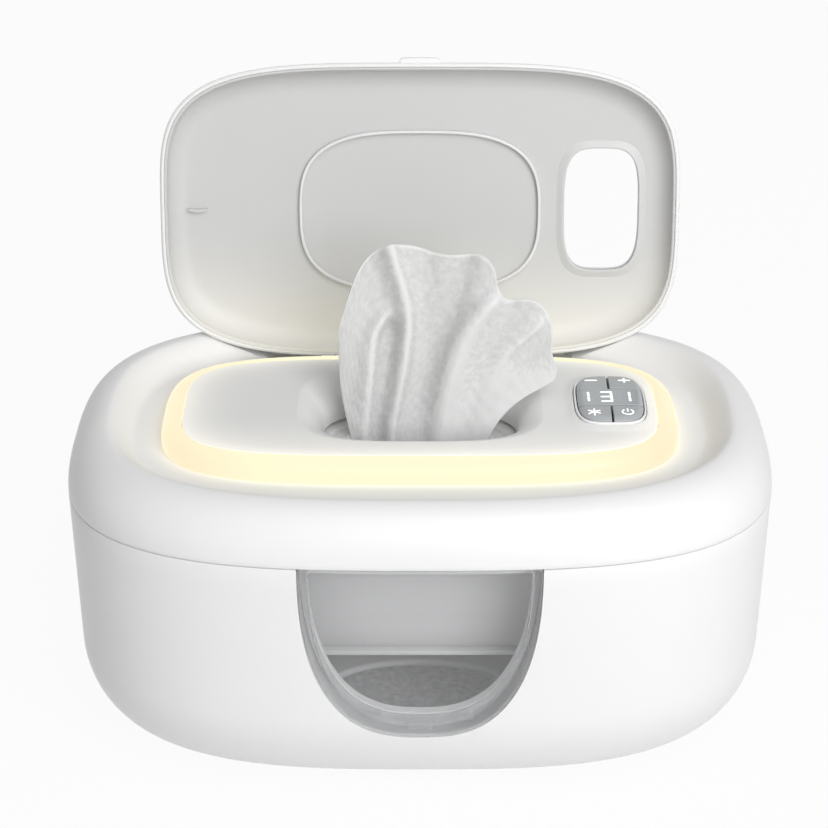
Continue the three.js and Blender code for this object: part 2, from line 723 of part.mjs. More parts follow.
function topShell() {
  const high = crestHeight + overrun;
  const outside = coverShape(0, seamHigh, crestHeight, dishSet, dishFloor);
  const roofHeight = crestHeight - cover.roof;
  const pocketCore = prism(shrink(pocketOutline, -innerWall), pocketFloor - innerWall, high, 0, pocketY);
  const hollow = coverShape(wall, seamHigh - overrun, roofHeight, dishSet - cover.underLap, dishFloor - wall);
  let shell = outside.subtract(hollow.subtract(pocketCore));
  for (const [, sx, sy] of fourCorners) {
    const x = sx * coverScrewX;
    const y = sy * coverScrewY;
    shell = shell
      .add(rodZ(screw.boss, slotLow, high, x, y).intersect(outside))
      .subtract(rodZ(screw.radius + gap, slotLow - overrun, underLow + screw.length + gap, x, y));
  }
  const opening = shrink(ringInner, gap + deck.skirt + deck.floorLip);
  shell = shell
    .subtract(prism(opening, slotLow, high, 0, ring.y))
    .subtract(prism(pocketOutline, pocketFloor, high, 0, pocketY));
  const lugStarts = [
    lidHinge.start - hingePin.sideGap - lidHinge.lug,
    lidHinge.start + lidHinge.length + hingePin.sideGap,
  ];
  for (const [, side] of twoSides) {
    for (const start of lugStarts) {
      const [x0, x1] = span(side, start, lidHinge.lug);
      const lugBase = pocketFloor - innerWall / 2;
      shell = shell
        .add(block(x0, x1, hingeY - lidHinge.lugHalf, hingeY + lidHinge.lugHalf, lugBase, hingeZ))
        .add(rodX(lidHinge.radius, x0, x1, hingeY, hingeZ))
        .subtract(rodX(hingePin.radius + hingePin.bore, x0 - gap, x1 + gap, hingeY, hingeZ));
    }
  }
  return withRearHinge(shell, coverKnuckleStart, coverHinge.start, seamHigh, seamHigh + coverHinge.webHeight);
}

// A skin of the light ring: straight foot, then a quarter round up to the deck's edge.
function ringShape(inset, low, top) {
  const steps = 4;
  const sections = [{ outline: shrink(ringOutline, inset), z: low }];
  for (let i = 0; i <= steps; i++) {
    const angle = (Math.PI / 2) * (i / steps);
    const outline = shrink(ringOutline, between(inset, ring.band, 1 - Math.cos(angle)));
    sections.push({ outline, z: between(dishFloor + ring.footRise, top, Math.sin(angle)) });
  }
  return loft(sections, 0, ring.y);
}

function lightRing() {
  const low = dishFloor + gap;
  return ringShape(0, low, deckTop)
    .subtract(ringShape(ring.thickness, low - overrun, deckUnder))
    .subtract(prism(ringInner, low - overrun, deckTop + overrun, 0, ring.y));
}

function ledBoard() {
  const low = dishFloor + gap;
  const high = low + led.thickness;
  const outer = shrink(ringOutline, led.set);
  return prism(outer, low, high, 0, ring.y).subtract(prism(shrink(outer, led.width), low - gap, high + gap, 0, ring.y));
}

// The funnel's inside, or its outside when grown by its wall: how far in and how far down, as shares.
function funnelShape(grown, low, high) {
  const lipShares = [
    [1, 1],
    [0.9, 0.62],
    [0.72, 0.3],
    [0.45, 0.1],
  ];
  const throat = oval(throatWidth, throatDepth, funnel.power, coarse);
  const sections = lipShares.map(([inwardShare, dropShare]) => ({
    outline: {
      ...throat,
      halfX: between(funnelOutline.halfX, throat.halfX, inwardShare) + grown,
      halfY: between(funnelOutline.halfY, throat.halfY, inwardShare) + grown,
    },
    z: between(deckTop, deckTop - funnel.drop, dropShare),
  }));
  return loft([
    { outline: shrink(throat, -grown), z: low },
    ...sections,
    { outline: shrink(funnelOutline, -grown), z: high },
  ]);
}

function deckPanel() {
  const outline = shrink(ringInner, gap);
  const low = dishFloor + gap;
  const skirt = prism(outline, low, deckTop, 0, ring.y).subtract(
    prism(shrink(outline, deck.skirt), low - overrun, deckUnder, 0, ring.y),
  );
  const collarFoot = shrink(podOutline, -deck.collarReach);
  const collar = loft(
    [
      { outline: collarFoot, z: deckUnder },
      { outline: collarFoot, z: deckTop },
      { outline: shrink(podOutline, -deck.collarReach / 2), z: deckTop + deck.collarRise },
    ],
    podX,
  ).intersect(prism(outline, low, deckTop + overrun, 0, ring.y));
  const throatLow = slotLow + slot.thickness + gap;
  return skirt
    .add(collar)
    .add(funnelShape(funnel.wall, throatLow, deckTop - gap))
    .subtract(funnelShape(0, throatLow - overrun, deckTop + gap))
    .subtract(prism(shrink(podOutline, -gap), low - overrun, deckTop + overrun, podX));
}

function dispensingRing() {
  const high = slotLow + slot.thickness;
  const disc = prism(oval(slotRingWidth, slotRingDepth, funnel.power, coarse), slotLow, high);
  return disc.subtract(prism(oval(slotWidth, slotDepth, slot.power, coarse), slotLow - gap, high + gap));
}

function underCover() {
  const top = underLow + under.thickness;
  const hole = oval(slotRingWidth - 2 * under.seatX, slotRingDepth - 2 * under.seatY, funnel.power, coarse);
  let plate = prism(shrink(seamOutline, under.set), underLow, top).subtract(prism(hole, underLow - gap, top + gap));
  for (const [, sx, sy] of fourCorners) {
    plate = plate.subtract(rodZ(screw.radius + gap, underLow - gap, top + gap, sx * coverScrewX, sy * coverScrewY));
  }
  return plate;
}

function coverGasket() {
  const outer = shrink(seamOutline, coverSeal.set);
  const low = tankRim + gap;
  const high = underLow - gap;
  return prism(outer, low, high).subtract(prism(shrink(outer, coverSeal.width), low - gap, high + gap));
}

// Control pod
const keyOutline = shrink(podOutline, pod.bezel + gap);
const keyTop = podTop;
const keyLow = keyTop - key.thickness;
const tactTop = circuitTop + tact.height;

function controlBezel() {
  const low = circuitTop + gap;
  return cap(podOutline, low, podTop - pod.bezelTop, pod.bezel / 2, podX).subtract(
    prism(shrink(podOutline, pod.bezel), low - gap, podTop + gap, podX),
  );
}

function keySolid(sx, sy) {
  const nearY = display.depth / 2 + key.groove;
  const farX = podOutline.halfX;
  const farY = podOutline.halfY;
  const [x0, x1] = sx > 0 ? [key.groove / 2, farX] : [-farX, -key.groove / 2];
  const [y0, y1] = sy > 0 ? [nearY, farY] : [-farY, -nearY];
  const stemLow = tactTop + tact.stemRise + key.travel + key.freePlay;
  return prism(keyOutline, keyLow, keyTop, podX)
    .intersect(block(podX + x0, podX + x1, y0, y1, keyLow - gap, keyTop + gap))
    .add(rodZ(key.stem, stemLow, keyLow + gap, podX + sx * keyX, sy * keyY));
}

function displayWindow() {
  const half = display.depth / 2;
  const low = keyTop - display.thickness;
  const farX = podOutline.halfX;
  const band = block(podX - farX, podX + farX, -half, half, low - gap, keyTop + gap);
  return prism(keyOutline, low, keyTop, podX).intersect(band);
}

function tactSwitch(sx, sy) {
  const x = podX + sx * keyX;
  const y = sy * keyY;
  const half = tact.size / 2;
  const stem = rodZ(tact.stem, tactTop - gap, tactTop + tact.stemRise, x, y);
  return block(x - half, x + half, y - half, y + half, circuitTop + gap / 3, tactTop).add(stem);
}

function displayModule() {
  const halfX = display.ledWidth / 2;
  const halfY = display.ledDepth / 2;
  const top = keyTop - display.thickness - gap;
  return block(podX - halfX, podX + halfX, -halfY, halfY, circuitTop + gap / 3, top);
}

// Lid, drawn shut
function lidShell() {
  const inside = shrink(lidOutline, lid.skirt);
  const roof = lidTop - lid.roof;
  const frontEdge = lidY - lidDepth / 2;
  const tabLow = rimHeight + tab.rise;
  const halfTab = tab.width / 2;
  const tabTop = tabLow + tab.thickness;
  let shell = cap(lidOutline, rimHeight, lidTop, lid.round, 0, lidY)
    .subtract(cap(inside, rimHeight - overrun, roof, lid.round - lid.roof, 0, lidY))
    .add(block(-halfTab, halfTab, frontEdge - tab.reach, frontEdge + lid.skirt / 2, tabLow, tabTop))
    .subtract(prism(lidHoleOutline, rimHeight, lidTop + overrun, lidHoleX, lidY));
  const { start, length } = lidHinge;
  const [y, z] = [hingeY, hingeZ];
  const reach = lidHinge.lug + hingePin.sideGap;
  for (const [, side] of twoSides) {
    const [x0, x1] = span(side, start - reach, length + 2 * reach, hingePin.sideGap);
    const [k0, k1] = span(side, start, length);
    const web = block(k0, k1, y + lidHinge.rear - lid.skirt / 2, y + lidHinge.radius, z, z + lidHinge.rise);
    shell = shell
      .subtract(rodX(lidHinge.radius + hingePin.swing, x0, x1, y, z, 24))
      .add(web)
      .add(rodX(lidHinge.radius, k0, k1, y, z))
      .subtract(rodX(hingePin.radius + hingePin.bore, k0 - gap, k1 + gap, y, z));
  }
  return shell;
}

// Leaves a thin curved tongue of a round stud.
function tongueTrim() {
  const far = tongue.radius + overrun;
  const inner = rodZ(tongue.radius, rimHeight, linerFace, tongueX, lidY + tongue.width, 16);
  return inner.add(block(tongueX - far, tongueX + far, lidY, lidY + far, rimHeight, linerFace));
}

function lidLiner() {
  const outer = shrink(lidOutline, lid.skirt + gap);
  const low = rimHeight + liner.rimStep;
  const roof = lidTop - lid.roof - gap;
  const round = lid.round - lid.roof;
  const inside = shrink(outer, liner.wall);
  const collar = shrink(lidHoleOutline, -lidHole.collar);
  const stud = rodZ(tongue.radius, linerFace - tongue.drop, roof, tongueX, lidY, 16);
  return cap(outer, low, roof, round, 0, lidY)
    .subtract(cap(inside, low - overrun, linerFace, round * liner.roundShare, 0, lidY))
    .add(prism(collar, linerFace - lidHole.collarDrop, roof, lidHoleX, lidY))
    .add(stud.subtract(tongueTrim()))
    .subtract(prism(lidHoleOutline, rimHeight, lidTop + overrun, lidHoleX, lidY));
}

function lidGasket() {
  const outer = oval(funnelWidth + 2 * lidSeal.reachX, funnelDepth + 2 * lidSeal.reachY, lidSeal.power);
  const low = deckTop + gap;
  const high = linerFace - gap;
  return prism(outer, low, high).subtract(prism(shrink(outer, lidSeal.band), low - gap, high + gap));
}

// Assembly: lower housing
add("outer_bowl", outerBowl(), white);
add("base_plate", basePlateSolid(), softWhite);
for (const [corner, sx, sy] of fourCorners) {
  add(`foot_${corner}`, rodZ(foot.radius, 0, foot.height, sx * footX, sy * footY, coarse), rubber);
  add(`base_screw_${corner}`, screwSolid(sx * baseScrewX, sy * baseScrewY, body.footHeight), steel);
}
const wellLow = tankFloor - well.drop;
add("inner_tank", innerTank(), tankGrey);
add("window_pane", windowPane(), clear);
add("window_seal", windowGasket(), silicone);
add("moisture_pad", prism(shrink(wellOutline, gap), wellLow + gap, wellLow + well.pad, 0, wellY), foam);
add("power_inlet", powerInlet(), black);

const heaterOutline = oval(body.width - 2 * heater.sideSet, heaterBack - heaterFront, heater.power, coarse);
const heaterTop = tankUnder - gap;
const filmTop = heaterTop - heater.thickness - gap;
const filmLow = filmTop - heater.film;
const fuseZ = filmLow - gap - fuse.radius;
const sensorZ = filmLow - gap - sensor.radius;
add("heater_plate", prism(heaterOutline, heaterTop - heater.thickness, heaterTop, 0, heaterY), aluminium);
add("heater_film", prism(shrink(heaterOutline, heater.filmSet), filmLow, filmTop, 0, heaterY), amber);
add("thermal_fuse", rodX(fuse.radius, fuse.x, fuse.x + fuse.length, fuseY, fuseZ), steel);
add("temperature_sensor", rodX(sensor.radius, sensor.x, sensor.x + sensor.length, sensorY, sensorZ), black);

// A flat block on the floor of the housing, centred on the board's row.
function onBoard(x, width, depth, low, high) {
  return block(x - width / 2, x + width / 2, board.y - depth / 2, board.y + depth / 2, low, high);
}

const boardTop = board.height + board.thickness;
const supplyX = boardWidth / 2 - boardPart.set;
const supply = onBoard(supplyX, boardPart.width, boardPart.depth, boardTop - gap, boardTop + boardPart.height);
add("main_board", onBoard(0, boardWidth, board.depth, board.height, boardTop).add(supply), circuit);
for (const [name, side] of twoSides) {
  const length = 2 * coverHinge.length + hingePin.sideGap - 2 * hingePin.endSet;
  const [x0, x1] = span(side, coverHinge.start + hingePin.endSet, length);
  add(`cover_hinge_pin_${name}`, rodX(hingePin.radius, x0, x1, coverAxisY, body.seamHeight), steel);
}

// Assembly: lift plate and wipes
add("lift_plate", liftPlate(), softWhite);
add("wipe_pack", wipePack(), film);
for (const [corner, sx, sy] of fourCorners) {
  add(`lift_spring_${corner}`, springSolid(sx * springX, sy * springY), steel);
}

// Assembly: cover
add("top_shell", topShell(), white);
add("light_ring", lightRing(), glow);
add("led_board", ledBoard(), circuit);
add("deck_panel", deckPanel(), softWhite);
add("dispensing_ring", dispensingRing(), silicone);
add("under_cover", underCover(), softWhite);
add("cover_seal", coverGasket(), silicone);
for (const [corner, sx, sy] of fourCorners) {
  const low = underLow - gap - screw.headHeight;
  add(`cover_screw_${corner}`, screwSolid(sx * coverScrewX, sy * coverScrewY, low), steel);
}
for (const [name, side] of twoSides) {
  const reach = lidHinge.lug + hingePin.sideGap - hingePin.endSet;
  const [x0, x1] = span(side, lidHinge.start - reach, lidHinge.length + 2 * reach);
  add(`lid_hinge_pin_${name}`, rodX(hingePin.radius, x0, x1, hingeY, hingeZ), steel);
}
add("wipe_sheet", wipeSheet(), cloth);

// Assembly: control pod
add("control_bezel", controlBezel(), softWhite);
add("display_window", displayWindow(), displayGrey);
add("display_module", displayModule(), black);
add("control_board", prism(shrink(podOutline, controlBoard.set), circuitLow, circuitTop, podX), circuit);
for (const [name, sx, sy] of [
  ["minus", -1, 1],
  ["plus", 1, 1],
  ["light", -1, -1],
  ["power", 1, -1],
]) {
  add(`button_${name}`, keySolid(sx, sy), keyGrey);
  add(`tact_switch_${name}`, tactSwitch(sx, sy), black);
}

// Assembly: lid
addToLid("lid_shell", lidShell(), white);
addToLid("lid_liner", lidLiner(), linerWhite);
addToLid("lid_seal", lidGasket(), silicone);

export default warmer;
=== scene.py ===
"""Looks of a baby wipe warmer: a rounded white box with a clear front window, a hinged cover, an open lid,
a glowing ring round the deck, a small key pad and a wipe that stands up out of the dispensing hole."""

from __future__ import annotations

import logging
import math
from dataclasses import dataclass, field
from enum import Enum
from typing import Callable, Iterable, Sequence

import bmesh
import bpy
import numpy as np
from mathutils import Matrix, Vector


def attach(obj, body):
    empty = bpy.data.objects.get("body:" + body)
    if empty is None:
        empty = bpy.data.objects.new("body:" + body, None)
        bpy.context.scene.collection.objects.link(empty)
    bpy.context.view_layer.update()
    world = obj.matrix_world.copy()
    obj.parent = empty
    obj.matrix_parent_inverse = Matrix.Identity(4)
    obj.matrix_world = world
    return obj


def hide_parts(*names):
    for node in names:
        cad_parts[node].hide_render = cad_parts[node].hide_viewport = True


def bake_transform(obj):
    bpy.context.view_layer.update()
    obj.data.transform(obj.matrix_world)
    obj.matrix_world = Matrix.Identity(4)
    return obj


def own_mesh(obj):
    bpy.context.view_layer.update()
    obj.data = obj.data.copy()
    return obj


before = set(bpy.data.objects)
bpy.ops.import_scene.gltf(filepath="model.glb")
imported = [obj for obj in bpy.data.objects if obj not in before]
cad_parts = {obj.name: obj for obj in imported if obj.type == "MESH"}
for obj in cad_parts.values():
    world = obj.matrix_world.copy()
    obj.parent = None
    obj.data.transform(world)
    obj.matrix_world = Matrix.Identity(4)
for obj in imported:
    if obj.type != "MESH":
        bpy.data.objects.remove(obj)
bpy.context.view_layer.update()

log = logging.getLogger("wipe_warmer")

MM = 0.001  # shapes are worked out in millimetres and stored in metres
GAP = 0.3  # between pieces that meet
FINE = 192
MEDIUM = 112
COARSE = 64

# A path of two coordinates
Points = tuple[tuple[float, float], ...]

# Places of what stands at the four corners
BASE_SCREW_X, BASE_SCREW_Y = 54.12, 18.02
FOOT_X, FOOT_Y = 62.04, 31.96
SPRING_X, SPRING_Y = 75.0, 32.0
COVER_SCREW_X, COVER_SCREW_Y = 88.0, 46.0


class Body(Enum):
    """The bodies that pieces ride on."""

    BASE = "base"
    LIFT = "lift"
    COVER = "cover"
    LID = "lid"


class Corner(Enum):
    """The four corners, as signs along X and Y."""

    FRONT_LEFT = (-1, -1)
    FRONT_RIGHT = (1, -1)
    REAR_LEFT = (-1, 1)
    REAR_RIGHT = (1, 1)

    @property
    def label(self) -> str:
        """The corner's name as the nodes write it."""
        return self.name.lower()


CORNERS = [corner.value for corner in Corner]


# Points and outlines


@dataclass(frozen=True)
class Outline:
    """A super-ellipse: half sizes, power and centre. A power of 2 is an ellipse."""

    half_x: float
    half_y: float
    power: float = 2.0
    x: float = 0.0
    y: float = 0.0

    def inset(self, by: float, power: float | None = None) -> "Outline":
        """The same outline moved in by a distance, with another power where one is given."""
        return Outline(self.half_x - by, self.half_y - by, power or self.power, self.x, self.y)

    def row(self, z: float) -> list[float]:
        """The outline at a height, as one row of numbers for a loft."""
        return [self.half_x, self.half_y, self.power, self.x, self.y, z]

    def at(self, *steps: tuple[float, float]) -> list[list[float]]:
        """Rows of the outline, each moved in by a distance at a height."""
        return [self.inset(by).row(z) for by, z in steps]

    def loop(self, z: float, count: int = FINE) -> np.ndarray:
        """Points round the outline at a height, spaced evenly along its length."""
        return oval_loops(np.array([self.row(z)]), count)[0]

    def reach(self, x: np.ndarray, y: np.ndarray) -> np.ndarray:
        """How far out points lie: 0 in the middle and 1 on the outline."""
        out_x, out_y = np.abs((x - self.x) / self.half_x), np.abs((y - self.y) / self.half_y)
        return (out_x**self.power + out_y**self.power) ** (1 / self.power)


def oval_loops(rows: np.ndarray, count: int = FINE) -> np.ndarray:
    """Turns rows of half_x, half_y, power, x, y, z into closed loops of points.

    A point at angle a is half_x * sign(cos a) * |cos a|^(2 / power) along X, and so with the sine along Y.
    Each quarter is walked finely first, and its points are then taken at even steps of its length.

    Args:
        rows: one row for each loop.
        count: points in a loop, a multiple of 4.

    Returns:
        An array of loops, points and coordinates.
    """
    rows = np.asarray(rows, float)
    quarter = count // 4
    walk = np.linspace(0.0, math.pi / 2, 400)
    loops = np.empty((len(rows), count, 3))
    for k, (half_x, half_y, power, x, y, z) in enumerate(rows):
        along = half_x * np.cos(walk) ** (2 / power)
        across = half_y * np.sin(walk) ** (2 / power)
        length = np.concatenate([[0.0], np.cumsum(np.hypot(np.diff(along), np.diff(across)))])
        even = np.linspace(0.0, length[-1], quarter + 1)
        px = np.interp(even, length, along)
        py = np.interp(even, length, across)
        xs = np.concatenate([px[:-1], -px[::-1][:-1], -px[:-1], px[::-1][:-1]])
        ys = np.concatenate([py[:-1], py[::-1][:-1], -py[:-1], -py[::-1][:-1]])
        loops[k, :, 0] = x + xs
        loops[k, :, 1] = y + ys
        loops[k, :, 2] = z
    return loops


def bend(start: Sequence[float], corner: Sequence[float], end: Sequence[float], steps: int) -> np.ndarray:
    """A quarter round from start to end that hugs a corner, without its first point.

    The point at angle t is corner + (start - corner) * (1 - sin t) + (end - corner) * (1 - cos t).
    """
    start, corner, end = (np.asarray(p, float) for p in (start, corner, end))
    t = np.linspace(0.0, math.pi / 2, steps + 1)[1:, None]
    return corner + (start - corner) * (1 - np.sin(t)) + (end - corner) * (1 - np.cos(t))


def rounded(rows: Sequence[Sequence[float]], radius: float | Sequence[float], steps: int = 4) -> np.ndarray:
    """Rounds each inner corner of a path of rows, from a radius before it to a radius after it.

    Args:
        rows: the path's corners.
        radius: how far from each corner the round starts, one value or one for each inner corner.
        steps: faces in a round.

    Returns:
        The path with its rounds.
    """
    path = np.asarray(rows, float)
    radii = np.broadcast_to(radius, (len(path) - 2,))
    out = [path[0]]
    for k in range(1, len(path) - 1):
        back, here, on = path[k - 1], path[k], path[k + 1]
        reach_back = max(np.linalg.norm((back - here)[[0, 1, 5]]), 1e-9)
        reach_on = max(np.linalg.norm((on - here)[[0, 1, 5]]), 1e-9)
        start = here + (back - here) * min(radii[k - 1] / reach_back, 0.48)
        end = here + (on - here) * min(radii[k - 1] / reach_on, 0.48)
        if radii[k - 1] <= 0:
            out.append(here)
            continue
        out.append(start)
        out.extend(bend(start, here, end, steps))
    out.append(path[-1])
    return np.array(out)


def dense(rows: np.ndarray, step: float) -> np.ndarray:
    """Adds rows to a path so that none is further than a step from the next."""
    out = [rows[0]]
    for a, b in zip(rows[:-1], rows[1:]):
        count = max(1, int(np.linalg.norm((b - a)[[0, 1, 5]]) / step))
        share = np.linspace(0.0, 1.0, count + 1)[1:, None]
        out.extend(a + (b - a) * share)
    return np.array(out)


def smoothstep(low: float, high: float, value: np.ndarray) -> np.ndarray:
    """0 below low, 1 above high, and 3t^2 - 2t^3 between them."""
    t = np.clip((value - low) / (high - low), 0.0, 1.0)
    return t * t * (3 - 2 * t)


# Meshes


@dataclass
class Shape:
    """Points in millimetres, with faces of any number of corners."""

    points: np.ndarray
    faces: list[tuple[int, ...]] = field(default_factory=list)

    def join(self, *others: "Shape") -> "Shape":
        """This shape and others as one, with their skins kept apart."""
        points = [self.points]
        faces = list(self.faces)
        base = len(self.points)
        for other in others:
            points.append(other.points)
            faces.extend(tuple(i + base for i in face) for face in other.faces)
            base += len(other.points)
        return Shape(np.concatenate(points), faces)

    def turned(self, origin: Sequence[float], angle: float) -> "Shape":
        """The shape turned about an axis along X through a point, by an angle in degrees."""
        a = math.radians(angle)
        p = self.points - np.asarray(origin, float)
        y = p[:, 1] * math.cos(a) - p[:, 2] * math.sin(a)
        z = p[:, 1] * math.sin(a) + p[:, 2] * math.cos(a)
        return Shape(np.stack([p[:, 0], y, z], 1) + np.asarray(origin, float), self.faces)

    def to_object(self, name: str, sharp: float = 35.0) -> bpy.types.Object:
        """Makes a Blender object of it in metres, shaded smooth up to an angle in degrees."""
        mesh = bpy.data.meshes.new(name)
        mesh.from_pydata((self.points * MM).tolist(), [], self.faces)
        mesh.validate()
        shade(mesh, sharp)
        obj = bpy.data.objects.new(name, mesh)
        bpy.context.scene.collection.objects.link(obj)
        return obj


def shade(mesh: bpy.types.Mesh, sharp: float) -> None:
    """Shades a mesh smooth, with its edges sharp past an angle in degrees."""
    mesh.polygons.foreach_set("use_smooth", np.ones(len(mesh.polygons), bool))
    mesh.update()
    mesh.set_sharp_from_angle(angle=math.radians(sharp))


def grid_faces(rows: int, columns: int, wrap_rows: bool, wrap_columns: bool = True) -> np.ndarray:
    """Quads over a grid of points. With loops that run counter-clockwise, rows that rise face outwards."""
    i = np.arange(columns if wrap_columns else columns - 1)
    k = np.arange(rows if wrap_rows else rows - 1)
    kk, ii = np.meshgrid(k, i, indexing="ij")
    up = (kk + 1) % rows
    on = (ii + 1) % columns
    quads = [kk * columns + ii, kk * columns + on, up * columns + on, up * columns + ii]
    return np.stack([q.ravel() for q in quads], 1)


def loft(rows: np.ndarray, count: int = FINE, wrap: bool = False) -> Shape:
    """A skin through super-ellipse rows, wrapped back to its first row or closed by flat fans."""
    return skin(oval_loops(rows, count), wrap)


def skin(loops: np.ndarray, wrap: bool = False) -> Shape:
    """A skin through loops of equal length, with a fan from each end loop to its middle unless it wraps."""
    rows, count = loops.shape[:2]
    points = loops.reshape(-1, 3)
    faces = [tuple(q) for q in grid_faces(rows, count, wrap).tolist()]
    if not wrap:
        low, high = len(points), len(points) + 1
        points = np.concatenate([points, loops[0].mean(0)[None], loops[-1].mean(0)[None]])
        last = (rows - 1) * count
        for i in range(count):
            j = (i + 1) % count
            faces.append((low, j, i))
            faces.append((high, last + i, last + j))
    return Shape(points, faces)


def tube(path: np.ndarray, radius: float, sides: int = 12) -> Shape:
    """A round tube along an open path: its rings stand square to it and don't twist."""
    count = len(path)
    ahead = np.vstack([path[1:], path[-1:]])
    behind = np.vstack([path[:1], path[:-1]])
    tangent = ahead - behind
    tangent /= np.linalg.norm(tangent, axis=1)[:, None]
    side = np.cross(tangent[0], [0.0, 0.0, 1.0])
    if np.linalg.norm(side) < 1e-6:
        side = np.array([1.0, 0.0, 0.0])
    normals = np.empty_like(path)
    for k in range(count):
        side = side - tangent[k] * np.dot(side, tangent[k])
        side /= np.linalg.norm(side)
        normals[k] = side
    binormals = np.cross(tangent, normals)
    turn = 2 * math.pi * np.arange(sides) / sides
    ring = normals[:, None] * np.cos(turn)[None, :, None] + binormals[:, None] * np.sin(turn)[None, :, None]
    return skin(path[:, None] + ring * radius)


def both_sides(x0: float, x1: float) -> Points:
    """A span of X on the right, after its mirror image on the left."""
    return (-x1, -x0), (x0, x1)


def spun(axis: int, rings: np.ndarray, centre: Sequence[float], sides: int, wrap: bool = False) -> Shape:
    """Rings of place and radius turned about an axis through a centre, in X (0), Y (1) or Z (2)."""
    turn = 2 * math.pi * np.arange(sides) / sides
    first, second = ((1, 2), (2, 0), (0, 1))[axis]
    loops = np.empty((len(rings), sides, 3))
    loops[:, :, axis] = rings[:, :1]
    loops[:, :, first] = centre[0] + rings[:, 1:] * np.cos(turn)
    loops[:, :, second] = centre[1] + rings[:, 1:] * np.sin(turn)
    return skin(loops, wrap)


def rod_x(
    x0: float, x1: float, y: float, z: float, radius: float, round_end: float = 0.3, sides: int = 40
) -> Shape:
    """A rod along X with rounded ends: rings whose radius falls off over the last bit of its length."""
    a = np.linspace(0.0, math.pi / 2, 5)
    near = np.stack([x0 + round_end * (1 - np.sin(a)), radius - round_end * (1 - np.cos(a))], 1)[::-1]
    far = np.stack([x1 - round_end * (1 - np.sin(a)), radius - round_end * (1 - np.cos(a))], 1)
    return spun(0, np.vstack([near, far]), (y, z), sides)


def rod_z(x: float, y: float, profile: Sequence[tuple[float, float]], sides: int = 48) -> Shape:
    """A turned piece about a vertical axis: a profile of radius and height, from its foot up."""
    return spun(2, np.asarray(profile, float)[:, ::-1], (x, y), sides)


def plate(polygon: np.ndarray, low: float, high: float, round_top: float = 0.0, steps: int = 4) -> Shape:
    """A flat plate of any counter-clockwise outline, with a rounded upper edge."""
    back = polygon - np.roll(polygon, 1, 0)
    on = np.roll(polygon, -1, 0) - polygon
    normal_back = np.stack([-back[:, 1], back[:, 0]], 1)
    normal_on = np.stack([-on[:, 1], on[:, 0]], 1)
    normal_back /= np.maximum(np.linalg.norm(normal_back, axis=1), 1e-9)[:, None]
    normal_on /= np.maximum(np.linalg.norm(normal_on, axis=1), 1e-9)[:, None]
    inward = normal_back + normal_on
    inward /= np.maximum((inward * normal_on).sum(1), 0.35)[:, None]
    levels = [(0.0, low)]
    if round_top > 0:
        a = np.linspace(0.0, math.pi / 2, steps + 1)
        levels += [(round_top * (1 - math.cos(t)), high - round_top * (1 - math.sin(t))) for t in a]
    else:
        levels += [(0.0, high)]
    loops = np.empty((len(levels), len(polygon), 3))
    for k, (inset, z) in enumerate(levels):
        loops[k, :, :2] = polygon + inward * inset
        loops[k, :, 2] = z
    points = loops.reshape(-1, 3)
    count = len(polygon)
    faces = [tuple(q) for q in grid_faces(len(levels), count, False).tolist()]
    faces.append(tuple(reversed(range(count))))
    faces.append(tuple(range((len(levels) - 1) * count, len(levels) * count)))
    return Shape(points, faces)


def run_x(profile: np.ndarray, x0: float, x1: float, bevel: float = 0.3) -> Shape:
    """A profile of Y and Z, counter-clockwise seen from +X, run along X with a small bevel at both ends."""
    middle = profile.mean(0)
    shrunk = middle + (profile - middle) * (1 - bevel / max(np.abs(profile - middle).max(), 1e-6))
    levels = [(x0, shrunk), (x0 + bevel, profile), (x1 - bevel, profile), (x1, shrunk)]
    count = len(profile)
    points = np.concatenate([np.column_stack([np.full(count, x), ring]) for x, ring in levels])
    faces = [tuple(q) for q in grid_faces(len(levels), count, False).tolist()]
    faces.append(tuple(reversed(range(count))))
    faces.append(tuple(range(3 * count, 4 * count)))
    return Shape(points, faces)


def carve(obj: bpy.types.Object, cutters: Iterable[Shape], sharp: float = 35.0) -> None:
    """Cuts closed shapes out of an object and leaves a plain mesh behind."""
    for cutter_shape in cutters:
        cutter = cutter_shape.to_object("cutter")
        modifier = obj.modifiers.new("carve", "BOOLEAN")
        modifier.operation = "DIFFERENCE"
        modifier.solver = "EXACT"
        modifier.object = cutter
        bpy.context.view_layer.update()
        evaluated = obj.evaluated_get(bpy.context.evaluated_depsgraph_get())
        made = bpy.data.meshes.new_from_object(evaluated)
        obj.modifiers.remove(modifier)
        old = obj.data
        obj.data = made
        made.name = old.name
        bpy.data.meshes.remove(old)
        cutter_mesh = cutter.data
        bpy.data.objects.remove(cutter)
        bpy.data.meshes.remove(cutter_mesh)
    shade(obj.data, sharp)


def fit(
    obj: bpy.types.Object,
    body: Body | str,
    finish: "Finish",
    replaced: Sequence[str] = (),
) -> bpy.types.Object:
    """Dresses a finished piece and sets it on its body.

    Args:
        obj: the piece.
        body: the body that it rides on, or "" for none.
        finish: what it is made of.
        replaced: the nodes that it stands for.

    Returns:
        The piece.
    """
    obj.data.materials.clear()
    obj.data.materials.append(finish.material())
    if body:
        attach(obj, body.value if isinstance(body, Body) else body)
    if replaced:
        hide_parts(*replaced)
    stands_for = ", ".join(replaced) or "itself"
    log.info("%s: %d faces, stands for %s", obj.name, len(obj.data.polygons), stands_for)
    return obj


def dress(node: str, finish: "Finish") -> None:
    """Gives a carried-over node its finish, on the node's own mesh."""
    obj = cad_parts[node]
    material = finish.material()
    if not obj.material_slots:
        obj.data.materials.append(material)
    for held in obj.material_slots:
        held.material = material
    log.info("%s keeps its shape", node)


# Finishes


Colour = tuple[float, float, float]
Socket = bpy.types.NodeSocket


